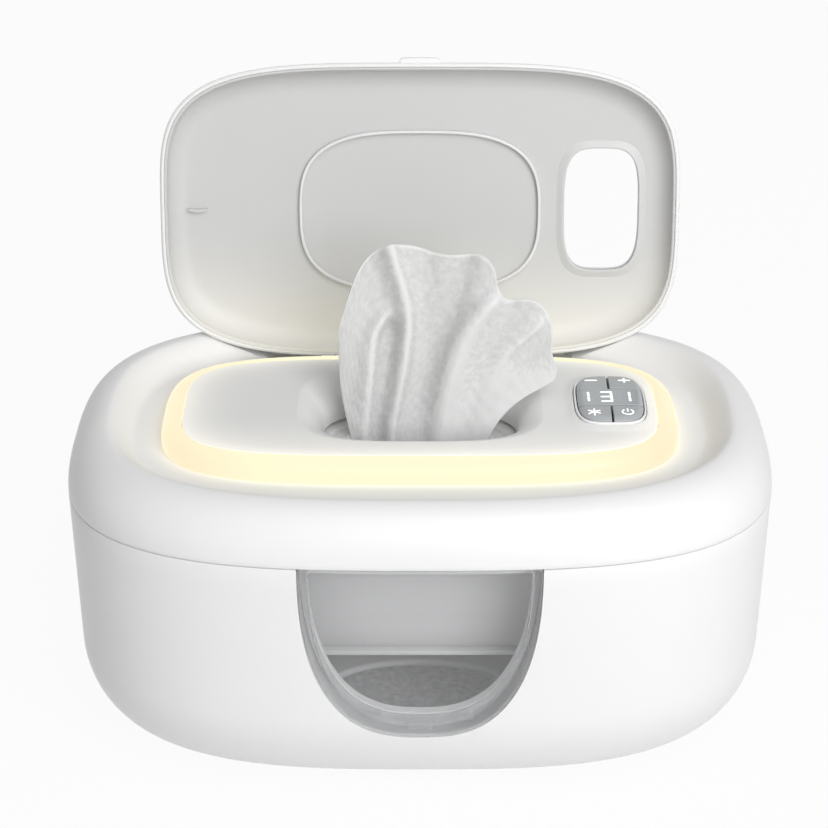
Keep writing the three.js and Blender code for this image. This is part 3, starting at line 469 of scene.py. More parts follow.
def add_node(tree: bpy.types.NodeTree, kind: str, **values: float | Colour) -> bpy.types.Node:
    """Adds a shader node and sets its inputs, with underscores for the spaces in their names."""
    node = tree.nodes.new(f"ShaderNode{kind}")
    for name, value in values.items():
        node.inputs[name.replace("_", " ")].default_value = value
    return node


class Desk:
    """A material's node tree with short calls that add a node and link its inputs."""

    def __init__(self, name: str) -> None:
        self.material = bpy.data.materials.new(name)
        self.material.use_nodes = True
        self.tree = self.material.node_tree
        self.tree.nodes.clear()
        self.output = self.tree.nodes.new("ShaderNodeOutputMaterial")
        self.shader = self.tree.nodes.new("ShaderNodeBsdfPrincipled")
        self.tree.links.new(self.shader.outputs[0], self.output.inputs["Surface"])

    def link(self, out: Socket, into: Socket) -> None:
        """Links two sockets."""
        self.tree.links.new(out, into)

    def mapped(self, kind: str, scale: tuple[float, float, float]) -> Socket:
        """Coordinates of a kind, stretched by a scale."""
        coordinate = self.tree.nodes.new("ShaderNodeTexCoord")
        mapping = add_node(self.tree, "Mapping", Scale=scale)
        self.link(coordinate.outputs[kind], mapping.inputs["Vector"])
        return mapping.outputs["Vector"]

    def place(self, scale: tuple[float, float, float] = (1.0, 1.0, 1.0)) -> Socket:
        """Object coordinates in metres, stretched by a scale."""
        return self.mapped("Object", scale)

    def uv(self, scale: tuple[float, float, float] = (1.0, 1.0, 1.0)) -> Socket:
        """The piece's own UV map, stretched by a scale."""
        return self.mapped("UV", scale)

    def noise(self, vector: Socket, scale: float, detail: float = 3.0) -> Socket:
        """Cloudy noise, from 0 to 1, at so many clouds a metre."""
        node = add_node(self.tree, "TexNoise", Scale=scale, Detail=detail)
        self.link(vector, node.inputs["Vector"])
        return node.outputs["Fac"]

    def attribute(self, name: str) -> Socket:
        """A value that the piece's points carry."""
        node = self.tree.nodes.new("ShaderNodeAttribute")
        node.attribute_name = name
        return node.outputs["Fac"]

    def span(self, value: Socket, low: float, high: float, start: float = 0.3, end: float = 0.7) -> Socket:
        """Maps a value from start to end onto low to high, and holds it there beyond them."""
        node = add_node(self.tree, "MapRange", From_Min=start, From_Max=end, To_Min=low, To_Max=high)
        self.link(value, node.inputs["Value"])
        return node.outputs["Result"]

    def ramp(self, value: Socket, stops: Sequence[tuple[float, Colour]]) -> Socket:
        """A colour ramp over a value."""
        node = self.tree.nodes.new("ShaderNodeValToRGB")
        elements = node.color_ramp.elements
        while len(elements) < len(stops):
            elements.new(0.5)
        for element, (at, colour) in zip(elements, stops):
            element.position = at
            element.color = (*colour, 1.0)
        self.link(value, node.inputs["Fac"])
        return node.outputs["Color"]

    def math(self, operation: str, a: Socket, b: Socket | float = 0.0):
        """One sum of two values."""
        node = self.tree.nodes.new("ShaderNodeMath")
        node.operation = operation
        self.link(a, node.inputs[0])
        if isinstance(b, (int, float)):
            node.inputs[1].default_value = float(b)
        else:
            self.link(b, node.inputs[1])
        return node.outputs[0]

    def paint(
        self,
        value: Socket,
        colour: Colour,
        darker: float,
        lighter: float,
        start: float = 0.3,
        end: float = 0.7,
        into: str = "Base Color",
    ) -> None:
        """Colours the shader by a value: darker by a share at its start and lighter at its end."""
        stops = [(start, shade_of(colour, -darker)), (end, shade_of(colour, lighter))]
        self.link(self.ramp(value, stops), self.shader.inputs[into])

    def gloss(self, value: Socket, low: float, high: float, *ends: float) -> None:
        """Sets the shader's roughness by a value."""
        self.link(self.span(value, low, high, *ends), self.shader.inputs["Roughness"])

    def bump(self, height: Socket, distance: float, strength: float = 1.0) -> None:
        """Tilts the surface by a height, whose full range is a distance in metres."""
        node = add_node(self.tree, "Bump", Strength=strength, Distance=distance)
        self.link(height, node.inputs["Height"])
        self.link(node.outputs["Normal"], self.shader.inputs["Normal"])

    def set(self, **values: float | Colour) -> None:
        """Sets the shader's own sockets, with underscores for the spaces in their names."""
        for name, value in values.items():
            socket = self.shader.inputs[name.replace("_", " ")]
            socket.default_value = (*value, 1.0) if isinstance(value, tuple) and len(value) == 3 else value


_made: dict[str, bpy.types.Material] = {}


def shade_of(colour: Colour, by: float) -> Colour:
    """A colour made lighter or darker by a share."""
    return tuple(min(1.0, channel * (1 + by)) for channel in colour)


@dataclass(frozen=True)
class Finish:
    """A finish with a name and a base colour. Each kind of finish says how its nodes are laid."""

    name: str
    colour: Colour

    def material(self) -> bpy.types.Material:
        """The finish's material, made once."""
        if self.name not in _made:
            desk = Desk(self.name)
            self.lay(desk)
            _made[self.name] = desk.material
        return _made[self.name]

    def lay(self, desk: Desk) -> None:
        """Lays the finish's nodes."""
        raise NotImplementedError


@dataclass(frozen=True)
class MouldedPlastic(Finish):
    """Moulded plastic: a faint cloud of colour, gloss that varies a little and a very fine grain."""

    roughness: float = 0.32
    grain: float = 0.000012
    grain_scale: float = 2600.0
    coat: float = 0.0
    cloud: float = 0.006

    def lay(self, desk: Desk) -> None:
        """Clouds tint the colour, and a fine grain lifts the surface and varies the gloss."""
        clouds = desk.noise(desk.place(), 22.0, 2.0)
        fine = desk.noise(desk.place(), self.grain_scale, 2.0)
        desk.paint(clouds, self.colour, self.cloud, self.cloud)
        desk.gloss(fine, self.roughness * 0.93, self.roughness * 1.07)
        desk.bump(fine, self.grain)
        desk.set(Coat_Weight=self.coat, Coat_Roughness=0.12)


@dataclass(frozen=True)
class PaintedGlowPlastic(MouldedPlastic):
    """Moulded plastic with a painted warm glow where its point attribute is high: emission that stands in
    for the light ring's spill light.
    """

    painted_glow_colour: Colour = (1.0, 0.93, 0.7)
    painted_glow: float = 0.3

    def lay(self, desk: Desk) -> None:
        """The moulded plastic's nodes, and a faint painted glow by the attribute, standing in for the
        ring's spill light.
        """
        super().lay(desk)
        glow = desk.math("MULTIPLY", desk.attribute("painted_glow"), self.painted_glow)
        desk.link(glow, desk.shader.inputs["Emission Strength"])
        desk.set(Emission_Color=self.painted_glow_colour)


@dataclass(frozen=True)
class GlowingPlastic(Finish):
    """Milky plastic lit from behind: brightest in its middle, warmer where the lamps are far."""

    far_colour: Colour = (1.0, 0.87, 0.6)
    strength: float = 0.93
    reach: float = 0.092

    def lay(self, desk: Desk) -> None:
        """The glow runs from the colour in the middle to the far colour at both ends of X."""
        separate = desk.tree.nodes.new("ShaderNodeSeparateXYZ")
        desk.link(desk.place(), separate.inputs[0])
        out = desk.math("ABSOLUTE", separate.outputs["X"])
        clouds = desk.noise(desk.place(), 60.0, 2.0)
        wobble = desk.math("MULTIPLY", clouds, 0.02)
        along = desk.span(desk.math("ADD", out, wobble), 0.0, 1.0, self.reach * 0.72, self.reach)
        glow = desk.ramp(along, [(0.0, self.colour), (1.0, self.far_colour)])
        desk.link(glow, desk.shader.inputs["Emission Color"])
        fine = desk.noise(desk.place(), 1800.0, 2.0)
        desk.bump(fine, 0.00001)
        desk.gloss(clouds, 0.36, 0.46)
        desk.set(Base_Color=(0.06, 0.055, 0.04), Specular_IOR_Level=0.2, Emission_Strength=self.strength)


@dataclass(frozen=True)
class ClearPlastic(Finish):
    """Clear moulded plastic: mostly see-through, glossy, whiter where it is seen edge on."""

    alpha: float = 0.08
    edge: float = 0.85
    roughness: float = 0.08

    def lay(self, desk: Desk) -> None:
        """Facing decides how much shows through, and faint flow lines vary the gloss."""
        facing = add_node(desk.tree, "LayerWeight", Blend=0.35)
        cover = desk.span(facing.outputs["Facing"], self.alpha, self.edge, 0.12, 0.9)
        desk.link(cover, desk.shader.inputs["Alpha"])
        flow = desk.noise(desk.place((1.0, 1.0, 0.35)), 90.0, 3.0)
        desk.gloss(flow, self.roughness * 0.8, self.roughness * 1.3)
        desk.paint(flow, self.colour, 0.01, 0.0)
        desk.set(IOR=1.49, Specular_IOR_Level=0.6)
        desk.material.surface_render_method = "BLENDED"


@dataclass(frozen=True)
class WipeCloth(Finish):
    """Spun fibre cloth: mottled fibres, rows of tiny dents, soft sheen, and painted light and shade along
    its creases and edges.
    """

    def lay(self, desk: Desk) -> None:
        """Two noises mottle the colour, a point attribute paints light and shade over them, and waves
        across the sheet's own map press its dents.
        """
        fibres = desk.noise(desk.uv((1.0, 0.6, 1.0)), 1400.0, 5.0)
        mottle = desk.noise(desk.uv(), 480.0, 4.0)
        both = desk.math("ADD", desk.math("MULTIPLY", fibres, 0.4), desk.math("MULTIPLY", mottle, 0.6))
        # Painted highlights on creases and edges, and painted shade in hollows, come from the point
        # attribute; the ramp's first stop is the painted shade.
        share = desk.math("ADD", desk.attribute("thin"), desk.math("MULTIPLY", both, 0.8))
        dark, light = shade_of(self.colour, -0.32), shade_of(self.colour, 0.14)
        stops = [(0.34, dark), (0.86, self.colour), (1.0, light)]
        desk.link(desk.ramp(share, stops), desk.shader.inputs["Base Color"])
        dents = add_node(desk.tree, "TexWave", Scale=95.0, Distortion=1.5, Detail=2.0)
        dents.wave_type = "BANDS"
        desk.link(desk.uv(), dents.inputs["Vector"])
        height = desk.math("ADD", desk.math("MULTIPLY", dents.outputs["Fac"], 0.25), both)
        desk.bump(height, 0.00014)
        desk.gloss(fibres, 0.86, 0.98)
        desk.set(Sheen_Weight=0.12, Sheen_Roughness=0.5, Specular_IOR_Level=0.15)


@dataclass(frozen=True)
class Felt(Finish):
    """Dense felt: matted fibres in two sizes and a dry surface."""

    def lay(self, desk: Desk) -> None:
        """Coarse and fine noise set the colour and the height together."""
        coarse = desk.noise(desk.place(), 420.0, 4.0)
        hairs = desk.noise(desk.place((1.0, 3.0, 1.0)), 1500.0, 5.0)
        both = desk.math("ADD", desk.math("MULTIPLY", coarse, 0.55), desk.math("MULTIPLY", hairs, 0.45))
        desk.paint(both, self.colour, 0.3, 0.28, 0.32, 0.68)
        desk.gloss(hairs, 0.88, 0.99)
        desk.bump(both, 0.0003)
        desk.set(Sheen_Weight=0.2, Specular_IOR_Level=0.1)


@dataclass(frozen=True)
class SoftFilm(Finish):
    """Smooth pale film over stacked wipes: faint level folds and a satin shine."""

    roughness: float = 0.42

    def lay(self, desk: Desk) -> None:
        """Noise stretched along X draws the folds, and fine noise mottles them."""
        folds = desk.noise(desk.place((0.25, 0.25, 4.0)), 55.0, 3.0)
        fine = desk.noise(desk.place(), 700.0, 3.0)
        both = desk.math("ADD", desk.math("MULTIPLY", folds, 0.7), desk.math("MULTIPLY", fine, 0.3))
        desk.paint(both, self.colour, 0.035, 0.03)
        desk.gloss(fine, self.roughness * 0.9, self.roughness * 1.15)
        desk.bump(both, 0.00012)


@dataclass(frozen=True)
class SoftRubber(Finish):
    """Rubber or silicone: a dry, even skin with fine pits."""

    roughness: float = 0.6

    def lay(self, desk: Desk) -> None:
        """Fine noise pits the skin, and clouds vary its colour."""
        clouds = desk.noise(desk.place(), 60.0, 3.0)
        pits = desk.noise(desk.place(), 2200.0, 3.0)
        desk.paint(clouds, self.colour, 0.04, 0.04)
        desk.gloss(pits, self.roughness * 0.92, self.roughness * 1.1)
        desk.bump(pits, 0.00003)


@dataclass(frozen=True)
class WornMetal(Finish):
    """Drawn or milled metal: fine lines along one way, and gloss that varies with handling."""

    roughness: float = 0.3
    lines: tuple[float, float, float] = (0.06, 1.0, 1.0)

    def lay(self, desk: Desk) -> None:
        """Noise stretched along the lines sets the gloss and the height."""
        drawn = desk.noise(desk.place(self.lines), 2400.0, 3.0)
        marks = desk.noise(desk.place(), 150.0, 4.0)
        desk.gloss(drawn, self.roughness * 0.8, self.roughness * 1.3)
        desk.paint(marks, self.colour, 0.1, 0.0)
        desk.bump(drawn, 0.000008)
        desk.set(Metallic=1.0)


@dataclass(frozen=True)
class CircuitResin(Finish):
    """Circuit board resin: level and crossing traces under a glossy green or white mask."""

    trace: float = 0.35

    def lay(self, desk: Desk) -> None:
        """Two square waves along X and Y draw the traces, broken up by noise."""
        heights = []
        for direction in ("X", "Y"):
            wave = add_node(desk.tree, "TexWave", Scale=85.0, Distortion=0.0)
            wave.wave_type = "BANDS"
            wave.bands_direction = direction
            desk.link(desk.place(), wave.inputs["Vector"])
            heights.append(desk.span(wave.outputs["Fac"], 0.0, 1.0, 0.78, 0.84))
        where = desk.span(desk.noise(desk.place(), 95.0, 1.0), 0.0, 1.0, 0.48, 0.52)
        traces = desk.math("MULTIPLY", desk.math("MAXIMUM", heights[0], heights[1]), where)
        desk.paint(traces, self.colour, 0.0, self.trace, 0.0, 1.0)
        desk.gloss(traces, 0.34, 0.26, 0.0, 1.0)
        desk.bump(traces, 0.00004)


@dataclass(frozen=True)
class LitMark(Finish):
    """Digits and icons lit from behind, a little softer where the lamp is weaker."""

    strength: float = 1.05

    def lay(self, desk: Desk) -> None:
        """A faint cloud over an even glow."""
        cloud = desk.noise(desk.place(), 300.0, 1.0)
        desk.paint(cloud, self.colour, 0.05, 0.0, into="Emission Color")
        desk.set(Base_Color=(0.4, 0.4, 0.4), Roughness=0.3, Emission_Strength=self.strength)


WHITE = MouldedPlastic("white_moulding", (0.815, 0.815, 0.815), roughness=0.36)
# The deck, the liner and the cover carry a painted warm glow that stands in for the light ring's spill
# light.
INNER_WHITE = PaintedGlowPlastic("deck_moulding", (0.77, 0.77, 0.767), roughness=0.38)
LINER = PaintedGlowPlastic("liner_moulding", (0.575, 0.575, 0.573), roughness=0.5, grain=0.00002, painted_glow=0.2)
COVER_WHITE = PaintedGlowPlastic("cover_moulding", (0.815, 0.815, 0.815), roughness=0.36, painted_glow=0.16)
# The liner's grey made lighter: painted light on the raised collar round the lid's hole.
LINER_RIM = MouldedPlastic("liner_rim_moulding", (0.61, 0.61, 0.608), roughness=0.44)
TANK = MouldedPlastic("tank_moulding", (0.86, 0.86, 0.872), roughness=0.4)
KEYS = MouldedPlastic("key_moulding", (0.4, 0.42, 0.43), roughness=0.34, cloud=0.01)
DISPLAY = MouldedPlastic("display_moulding", (0.35, 0.375, 0.39), roughness=0.16, coat=0.4, grain=0.000003)
BEZEL = MouldedPlastic("bezel_moulding", (0.88, 0.88, 0.88), roughness=0.3)
HIDDEN_WHITE = MouldedPlastic("plate_moulding", (0.76, 0.76, 0.76), roughness=0.5, grain=0.00003)
BLACK = MouldedPlastic("black_moulding", (0.022, 0.023, 0.026), roughness=0.42, grain=0.00002)
GLOW = GlowingPlastic("light_ring_glow", (1.0, 0.975, 0.68))
CLEAR = ClearPlastic("window_plastic", (0.93, 0.94, 0.95))
CLOTH = WipeCloth("wipe_cloth", (0.64, 0.64, 0.638))
PACK = SoftFilm("pack_film", (0.68, 0.68, 0.69))
FELT = Felt("pad_felt", (0.57, 0.57, 0.585))
SILICONE = SoftRubber("seal_silicone", (0.6, 0.6, 0.6), roughness=0.45)
WINDOW_SILICONE = SoftRubber("window_seal_silicone", (0.82, 0.82, 0.83), roughness=0.4)
LID_SILICONE = SoftRubber("lid_seal_silicone", (0.74, 0.74, 0.74), roughness=0.4)
RUBBER = SoftRubber("foot_rubber", (0.24, 0.245, 0.25), roughness=0.75)
STEEL = WornMetal("steel", (0.62, 0.63, 0.64), roughness=0.26)
PLATE_METAL = WornMetal("aluminium", (0.68, 0.69, 0.7), roughness=0.38, lines=(1.0, 0.05, 1.0))
FILM = CircuitResin("heater_film", (0.42, 0.16, 0.045), trace=0.6)
BOARD = CircuitResin("board_green", (0.025, 0.14, 0.06), trace=0.9)
LAMP_BOARD = CircuitResin("board_white", (0.7, 0.7, 0.66), trace=-0.25)
MARK = LitMark("lit_marks", (1.0, 1.0, 1.0))


# Outlines that several pieces follow

SEAM = Outline(125.0, 88.5, 3.0)
SEAM_LOW = 98.85
SEAM_HIGH = 99.15
HINGE_Y = 88.8
HINGE_Z = 99.0


@dataclass(frozen=True)
class BowlForm:
    """The bowl's outside: a straight taper over a round foot."""

    foot: float = 1.5
    knee: float = 40.5
    round: float = 39.0
    taper: float = 3.0

    def inset(self, z: np.ndarray | float, inside: float = 0.0) -> np.ndarray:
        """How far in from the seam's outline a skin stands at a height, some thickness inside.

        Above the knee it is the taper and the thickness. Below, a circle of the round less the thickness.
        """
        z = np.asarray(z, float)
        radius = self.round - inside
        taper = self.taper * (SEAM_LOW - z) / (SEAM_LOW - self.foot)
        below = np.clip(self.knee - z, 0.0, radius)
        return taper + self.round - np.sqrt(radius**2 - below**2)

    def front_y(self, x: np.ndarray, z: np.ndarray, inside: float = 0.0) -> np.ndarray:
        """Where the skin stands in Y at the front: -half depth * (1 - |x / half width|^3)^(1 / 3)."""
        inset = self.inset(z, inside)
        share = np.clip(np.abs(x) / (SEAM.half_x - inset), 0.0, 1.0)
        return -(SEAM.half_y - inset) * (1 - share**SEAM.power) ** (1 / SEAM.power)

    def rows(self, inside: float, low_angle: float, top: float, steps: int) -> np.ndarray:
        """Rows of the skin from an angle on its round foot up to a height."""
        angles = np.radians(np.linspace(low_angle, 90.0, steps + 1))
        low = self.knee - (self.round - inside) * np.cos(angles)
        heights = np.concatenate([low, [55.0, 70.0, 85.0, top]])
        return np.array([SEAM.inset(float(self.inset(z, inside))).row(z) for z in heights])


@dataclass(frozen=True)
class TankForm:
    """The inner tank's outside at the front, whose taper the window's frame and seal follow."""

    low: float = 20.0
    rim: float = 97.3
    low_set: float = 16.5
    rim_set: float = 12.5

    def front_y(self, x: np.ndarray, z: np.ndarray, grown: float) -> np.ndarray:
        """Where the tank's outside stands in Y, grown by a distance: a taper between two insets."""
        share = np.clip((z - self.low + grown) / (self.rim - self.low + grown), 0.0, 1.0)
        inset = (self.low_set + (self.rim_set - self.low_set) * share) - grown
        out = np.clip(np.abs(x) / (SEAM.half_x - inset), 0.0, 1.0)
        return -(SEAM.half_y - inset) * (1 - out**SEAM.power) ** (1 / SEAM.power)


@dataclass(frozen=True)
class Arch:
    """The window's outline: straight across the top, round at the bottom."""

    half_width: float = 41.0
    top: float = 99.0
    drop: float = 66.5
    power: float = 2.55

    def loop(self, inset: float, top: float, count: int = FINE, corner: float = 1.2) -> np.ndarray:
        """Points of X and Z round the outline, counter-clockwise from the front, spaced evenly.

        The bottom is half a super-ellipse: x = half width * sign(c) * |c|^(2 / power) and
        z = top - drop * |s|^(2 / power). The top corners are small quarter rounds.
        """
        wide, deep = self.half_width - inset, self.drop - inset
        t = np.linspace(math.pi, 2 * math.pi, 900)
        c, s = np.cos(t), np.sin(t)
        x = wide * np.sign(c) * np.abs(c) ** (2 / self.power)
        z = self.top - deep * np.abs(s) ** (2 / self.power)
        keep = z < top - corner
        right, left = wide - corner, corner - wide
        a = np.linspace(0.0, math.pi / 2, 12)
        x = np.concatenate([x[keep], right + corner * np.cos(a), left - corner * np.sin(a)])
        z = np.concatenate([z[keep], top - corner + corner * np.sin(a), top - corner + corner * np.cos(a)])
        x, z = np.append(x, x[0]), np.append(z, z[0])
        length = np.concatenate([[0.0], np.cumsum(np.hypot(np.diff(x), np.diff(z)))])
        even = np.linspace(0.0, length[-1], count + 1)[:-1]
        return np.stack([np.interp(even, length, x), np.interp(even, length, z)], 1)

    def cutter(self, inset: float, top: float, front: float, back: float) -> Shape:
        """The outline run along Y as a closed block."""
        flat = self.loop(inset, top)
        loops = np.empty((2, len(flat), 3))
        loops[:, :, 0] = flat[:, 0]
        loops[:, :, 2] = flat[:, 1]
        loops[0, :, 1] = back
        loops[1, :, 1] = front
        return skin(loops)


BOWL = BowlForm()
TANK_FORM = TankForm()
ARCH = Arch()


def rear_wall_y(x: float) -> float:
    """Where the shells' outside stands at the rear, out at some x."""
    return SEAM.half_y * (1 - abs(x / SEAM.half_x) ** SEAM.power) ** (1 / SEAM.power)


def sleeve_x(
    x0: float, x1: float, y: float, z: float, radius: float, bore: float, sides: int = 40
) -> Shape:
    """A hinge barrel: a closed ring profile turned about an axis along X, its outer edges rounded."""
    edge = 0.3
    profile = [
        (x0, radius - edge),
        (x0 + edge * 0.3, radius - edge * 0.3),
        (x0 + edge, radius),
        (x1 - edge, radius),
        (x1 - edge * 0.3, radius - edge * 0.3),
        (x1, radius - edge),
        (x1, bore + 0.1),
        (x1 - 0.1, bore),
        (x0 + 0.1, bore),
        (x0, bore + 0.1),
    ]
    return spun(0, np.asarray(profile), (y, z), sides, wrap=True)


def knuckle_shapes(span: Sequence[float], wall: float, low: float, high: float, side: int) -> list[Shape]:
    """A hinge knuckle on each side, and the webs that hold them to the rear wall."""
    parts = []
    for near, far in both_sides(*span):
        parts.append(sleeve_x(near, far, HINGE_Y, HINGE_Z, 2.6, 1.3))
        parts.append(hugging_web(near, far, rear_wall_y(span[1]) - wall / 2, low, high, side))
    return parts


def knuckle_room(span: Sequence[float]) -> list[Shape]:
    """What clears the other half's knuckles, on each side."""
    return [rod_x(near - 0.4, far + 0.4, HINGE_Y, HINGE_Z, 3.0, 0.05) for near, far in both_sides(*span)]


def hugging_web(x0: float, x1: float, root: float, low: float, high: float, side: int) -> Shape:
    """The web that joins a rear knuckle to its wall. Its profile hugs the barrel's own wall with an arc.

    Args:
        x0: its start along X.
        x1: its end.
        root: where it leaves the wall, in Y.
        low: its lowest point.
        high: its highest point.
        side: -1 where the web is below the axis, 1 where it is above.

    Returns:
        The web.
    """
    hug = 2.2
    a = np.radians(np.linspace(90.0, 177.0, 14))
    arc = np.stack([HINGE_Y + hug * np.cos(a), HINGE_Z + side * hug * np.sin(a)], 1)
    far = high if side > 0 else low
    near = low if side > 0 else high
    slope = (HINGE_Y - 1.4, far), (HINGE_Y, far - side * 1.6)
    profile = np.array([(root, near), *arc[::-1], slope[1], slope[0], (root, far)])
    return run_x(profile if side > 0 else profile[::-1], x0, x1, 0.2)


@dataclass
class Fastener:
    """A cross-head screw whose head faces down."""

    radius: float = 1.3
    head: float = 2.7
    head_height: float = 1.1
    length: float = 6.0
    pitch: float = 0.5

    def shape(self, x: float, y: float, low: float) -> Shape:
        """A domed head under a ridged shank, all turned about the screw's axis."""
        shoulder = low + self.head_height
        profile = [
            (self.head * 0.62, low),
            (self.head * 0.86, low + 0.1),
            (self.head * 0.97, low + 0.32),
            (self.head, low + 0.6),
            (self.head, shoulder - 0.1),
            (self.head - 0.1, shoulder),
            (self.radius, shoulder),
        ]
        turns = int((self.length - 1.0) / self.pitch)
        for k in range(turns):
            z = shoulder + 0.3 + k * self.pitch
            profile += [(self.radius * 0.82, z), (self.radius, z + self.pitch * 0.45)]
        end = shoulder + self.length
        profile += [(self.radius * 0.8, end - 0.6), (self.radius * 0.45, end)]
        return rod_z(x, y, profile, 32)

    def recess(self, x: float, y: float, low: float) -> Shape:
        """The cross in the head."""
        long, thin = self.head * 0.55, self.head * 0.12
        cross = [
            (long, -thin), (long, thin), (thin, thin), (thin, long), (-thin, long), (-thin, thin),
            (-long, thin), (-long, -thin), (-thin, -thin), (-thin, -long), (thin, -long), (thin, -thin),
        ]
        return plate(np.array(cross) + [x, y], low - 0.5, low + self.head_height * 0.65)

    def build(self, node: str, x: float, y: float, low: float, body: Body) -> None:
        """Builds the screw and stands it for its node."""
        obj = self.shape(x, y, low).to_object(f"cross_head_{node}")
        carve(obj, [self.recess(x, y, low)])
        fit(obj, body, STEEL, [node])


@dataclass
class Bowl:
    """The outer bowl: one closed skin from the foot up the outside, over the rim and down the inside."""

    wall: float = 2.4
    ledge_top: float = 95.0
    ledge: float = 2.2
    ledge_height: float = 3.0
    plate: Outline = Outline(66.0, 34.0, 2.6)
    floor: float = 3.9
    notch: tuple[float, float, float] = (3.0, 5.0, 1.4)
    knuckle: tuple[float, float] = (40.0, 50.0)
    other_knuckle: tuple[float, float] = (50.4, 60.4)

    def rows(self) -> np.ndarray:
        """The skin's rows, in order, with small rounds at each rim."""
        outside = BOWL.rows(0.0, 0.0, SEAM_LOW - 0.45, 22)
        inside = BOWL.rows(self.wall, 0.0, self.ledge_top - self.ledge_height, 14)[::-1]
        recess = self.plate.inset(-GAP)
        lip = self.plate.inset(3.5)
        rim = self.plate.inset(-3.0)
        start = [recess.inset(-0.35).row(BOWL.foot)]
        top = [
            *SEAM.at(
                (0.13, SEAM_LOW - 0.13), (0.45, SEAM_LOW), (1.2, SEAM_LOW), (self.wall - 0.3, SEAM_LOW),
                (self.wall, SEAM_LOW - 0.3), (self.wall, self.ledge_top + 0.2),
                (self.wall + 0.2, self.ledge_top), (self.wall + self.ledge - 0.2, self.ledge_top),
                (self.wall + self.ledge, self.ledge_top - 0.2),
                (self.wall + self.ledge, self.ledge_top - self.ledge_height),
            ),
        ]
        below = [
            *rim.at((-1.0, self.floor), (0.0, self.floor + 0.8), (0.0, 5.9), (0.3, 6.2)),
            *lip.at((-0.3, 6.2), (0.0, 5.9), (0.0, 4.05)),
            *recess.at((0.0, 4.05), (0.0, BOWL.foot + 0.35)),
        ]
        return np.concatenate([dense(np.vstack([start, outside]), 6.0), top, inside, below])

    def shape(self) -> Shape:
        """The bowl's skin, its rear knuckles with their webs, and its screw posts."""
        body = loft(self.rows(), 384, wrap=True)
        parts = knuckle_shapes(self.knuckle, self.wall, SEAM_LOW - 5.0, SEAM_LOW - 0.02, -1)
        post = [(1.65, 4.05), (3.3, 4.05), (3.4, 4.2), (3.4, 9.9), (3.2, 10.05), (1.65, 10.05)]
        parts += [rod_z(sx * BASE_SCREW_X, sy * BASE_SCREW_Y, post) for sx, sy in CORNERS]
        return body.join(*parts)

    def cutters(self) -> list[Shape]:
        """What is cut from the skin: window, finger notch, inlet, foot pockets and room for knuckles."""
        depth, width, height = self.notch
        notch_outline = Outline(depth + 2.0, width / 2, 7.0, -SEAM.half_x - 2.0, -width / 2)
        cuts = [
            ARCH.cutter(0.0, 104.0, -110.0, -68.5),
            loft(np.array([notch_outline.row(SEAM_LOW - height), notch_outline.row(102.0)]), COARSE),
            turned_y(0.0, 50.0, [(5.5, 78.0), (5.5, 96.0)]),
        ]
        for sx, sy in CORNERS:
            cuts.append(rod_z(sx * FOOT_X, sy * FOOT_Y, [(6.3, -3.0), (6.3, 2.5)], 64))
        return cuts + knuckle_room(self.other_knuckle)

    def build(self) -> None:
        """Builds and dresses the bowl."""
        obj = self.shape().to_object("bowl_moulding")
        carve(obj, self.cutters())
        fit(obj, Body.BASE, WHITE, ["outer_bowl"])


def turned_y(x: float, z: float, profile: Sequence[tuple[float, float]], sides: int = 64) -> Shape:
    """A turned piece about an axis along Y: a profile of radius and place along Y, rising."""
    return spun(1, np.asarray(profile, float)[:, ::-1], (z, x), sides)


@dataclass
class Underside:
    """The base plate with its screws, and the four rubber feet."""

    plate: Outline = Outline(66.0, 34.0, 2.6)
    low: float = 1.8
    high: float = 3.8
    screw: Fastener = field(default_factory=Fastener)

    def build_plate(self) -> None:
        """A flat plate with rounded edges, a shallow stiffening step, posts and screw recesses."""
        step = self.plate.inset(11.0)
        rows = [
            *step.at(
                (0.4, self.low + 0.5), (0.1, self.low + 0.4), (0.0, self.low + 0.12), (-0.4, self.low),
            ),
            *self.plate.at(
                (0.4, self.low), (0.1, self.low + 0.1), (0.0, self.low + 0.4), (0.0, self.high - 0.3),
                (0.3, self.high),
            ),
        ]
        posts = [
            rod_z(sx * 26.12, 12.0 + sy * 11.0, [(2.4, self.high - 0.4), (2.4, 6.2), (2.3, 6.3)])
            for sx, sy in CORNERS
        ]
        obj = loft(np.array(rows), 256).join(*posts).to_object("base_plate_moulding")
        cuts = []
        for sx, sy in CORNERS:
            profile = [(3.0, 0.0), (3.0, 2.9), (1.6, 2.9), (1.6, 5.0)]
            cuts.append(rod_z(sx * BASE_SCREW_X, sy * BASE_SCREW_Y, profile))
        carve(obj, cuts)
        fit(obj, Body.BASE, HIDDEN_WHITE, ["base_plate"])

    def build(self) -> None:
        """Builds the plate, the screws and the feet."""
        self.build_plate()
        for corner in Corner:
            sx, sy = corner.value
            node = f"base_screw_{corner.label}"
            self.screw.build(node, sx * BASE_SCREW_X, sy * BASE_SCREW_Y, 1.5, Body.BASE)
            profile = [
                (3.9, 0.25), (4.2, 0.05), (4.5, 0.0), (5.3, 0.0), (5.75, 0.1), (5.95, 0.35), (6.0, 0.7),
                (6.0, 2.1), (5.9, 2.2),
            ]
            foot = rod_z(sx * FOOT_X, sy * FOOT_Y, profile, 64)
            foot = foot.to_object(f"rubber_foot_{corner.label}")
            fit(foot, Body.BASE, RUBBER, [f"foot_{corner.label}"])


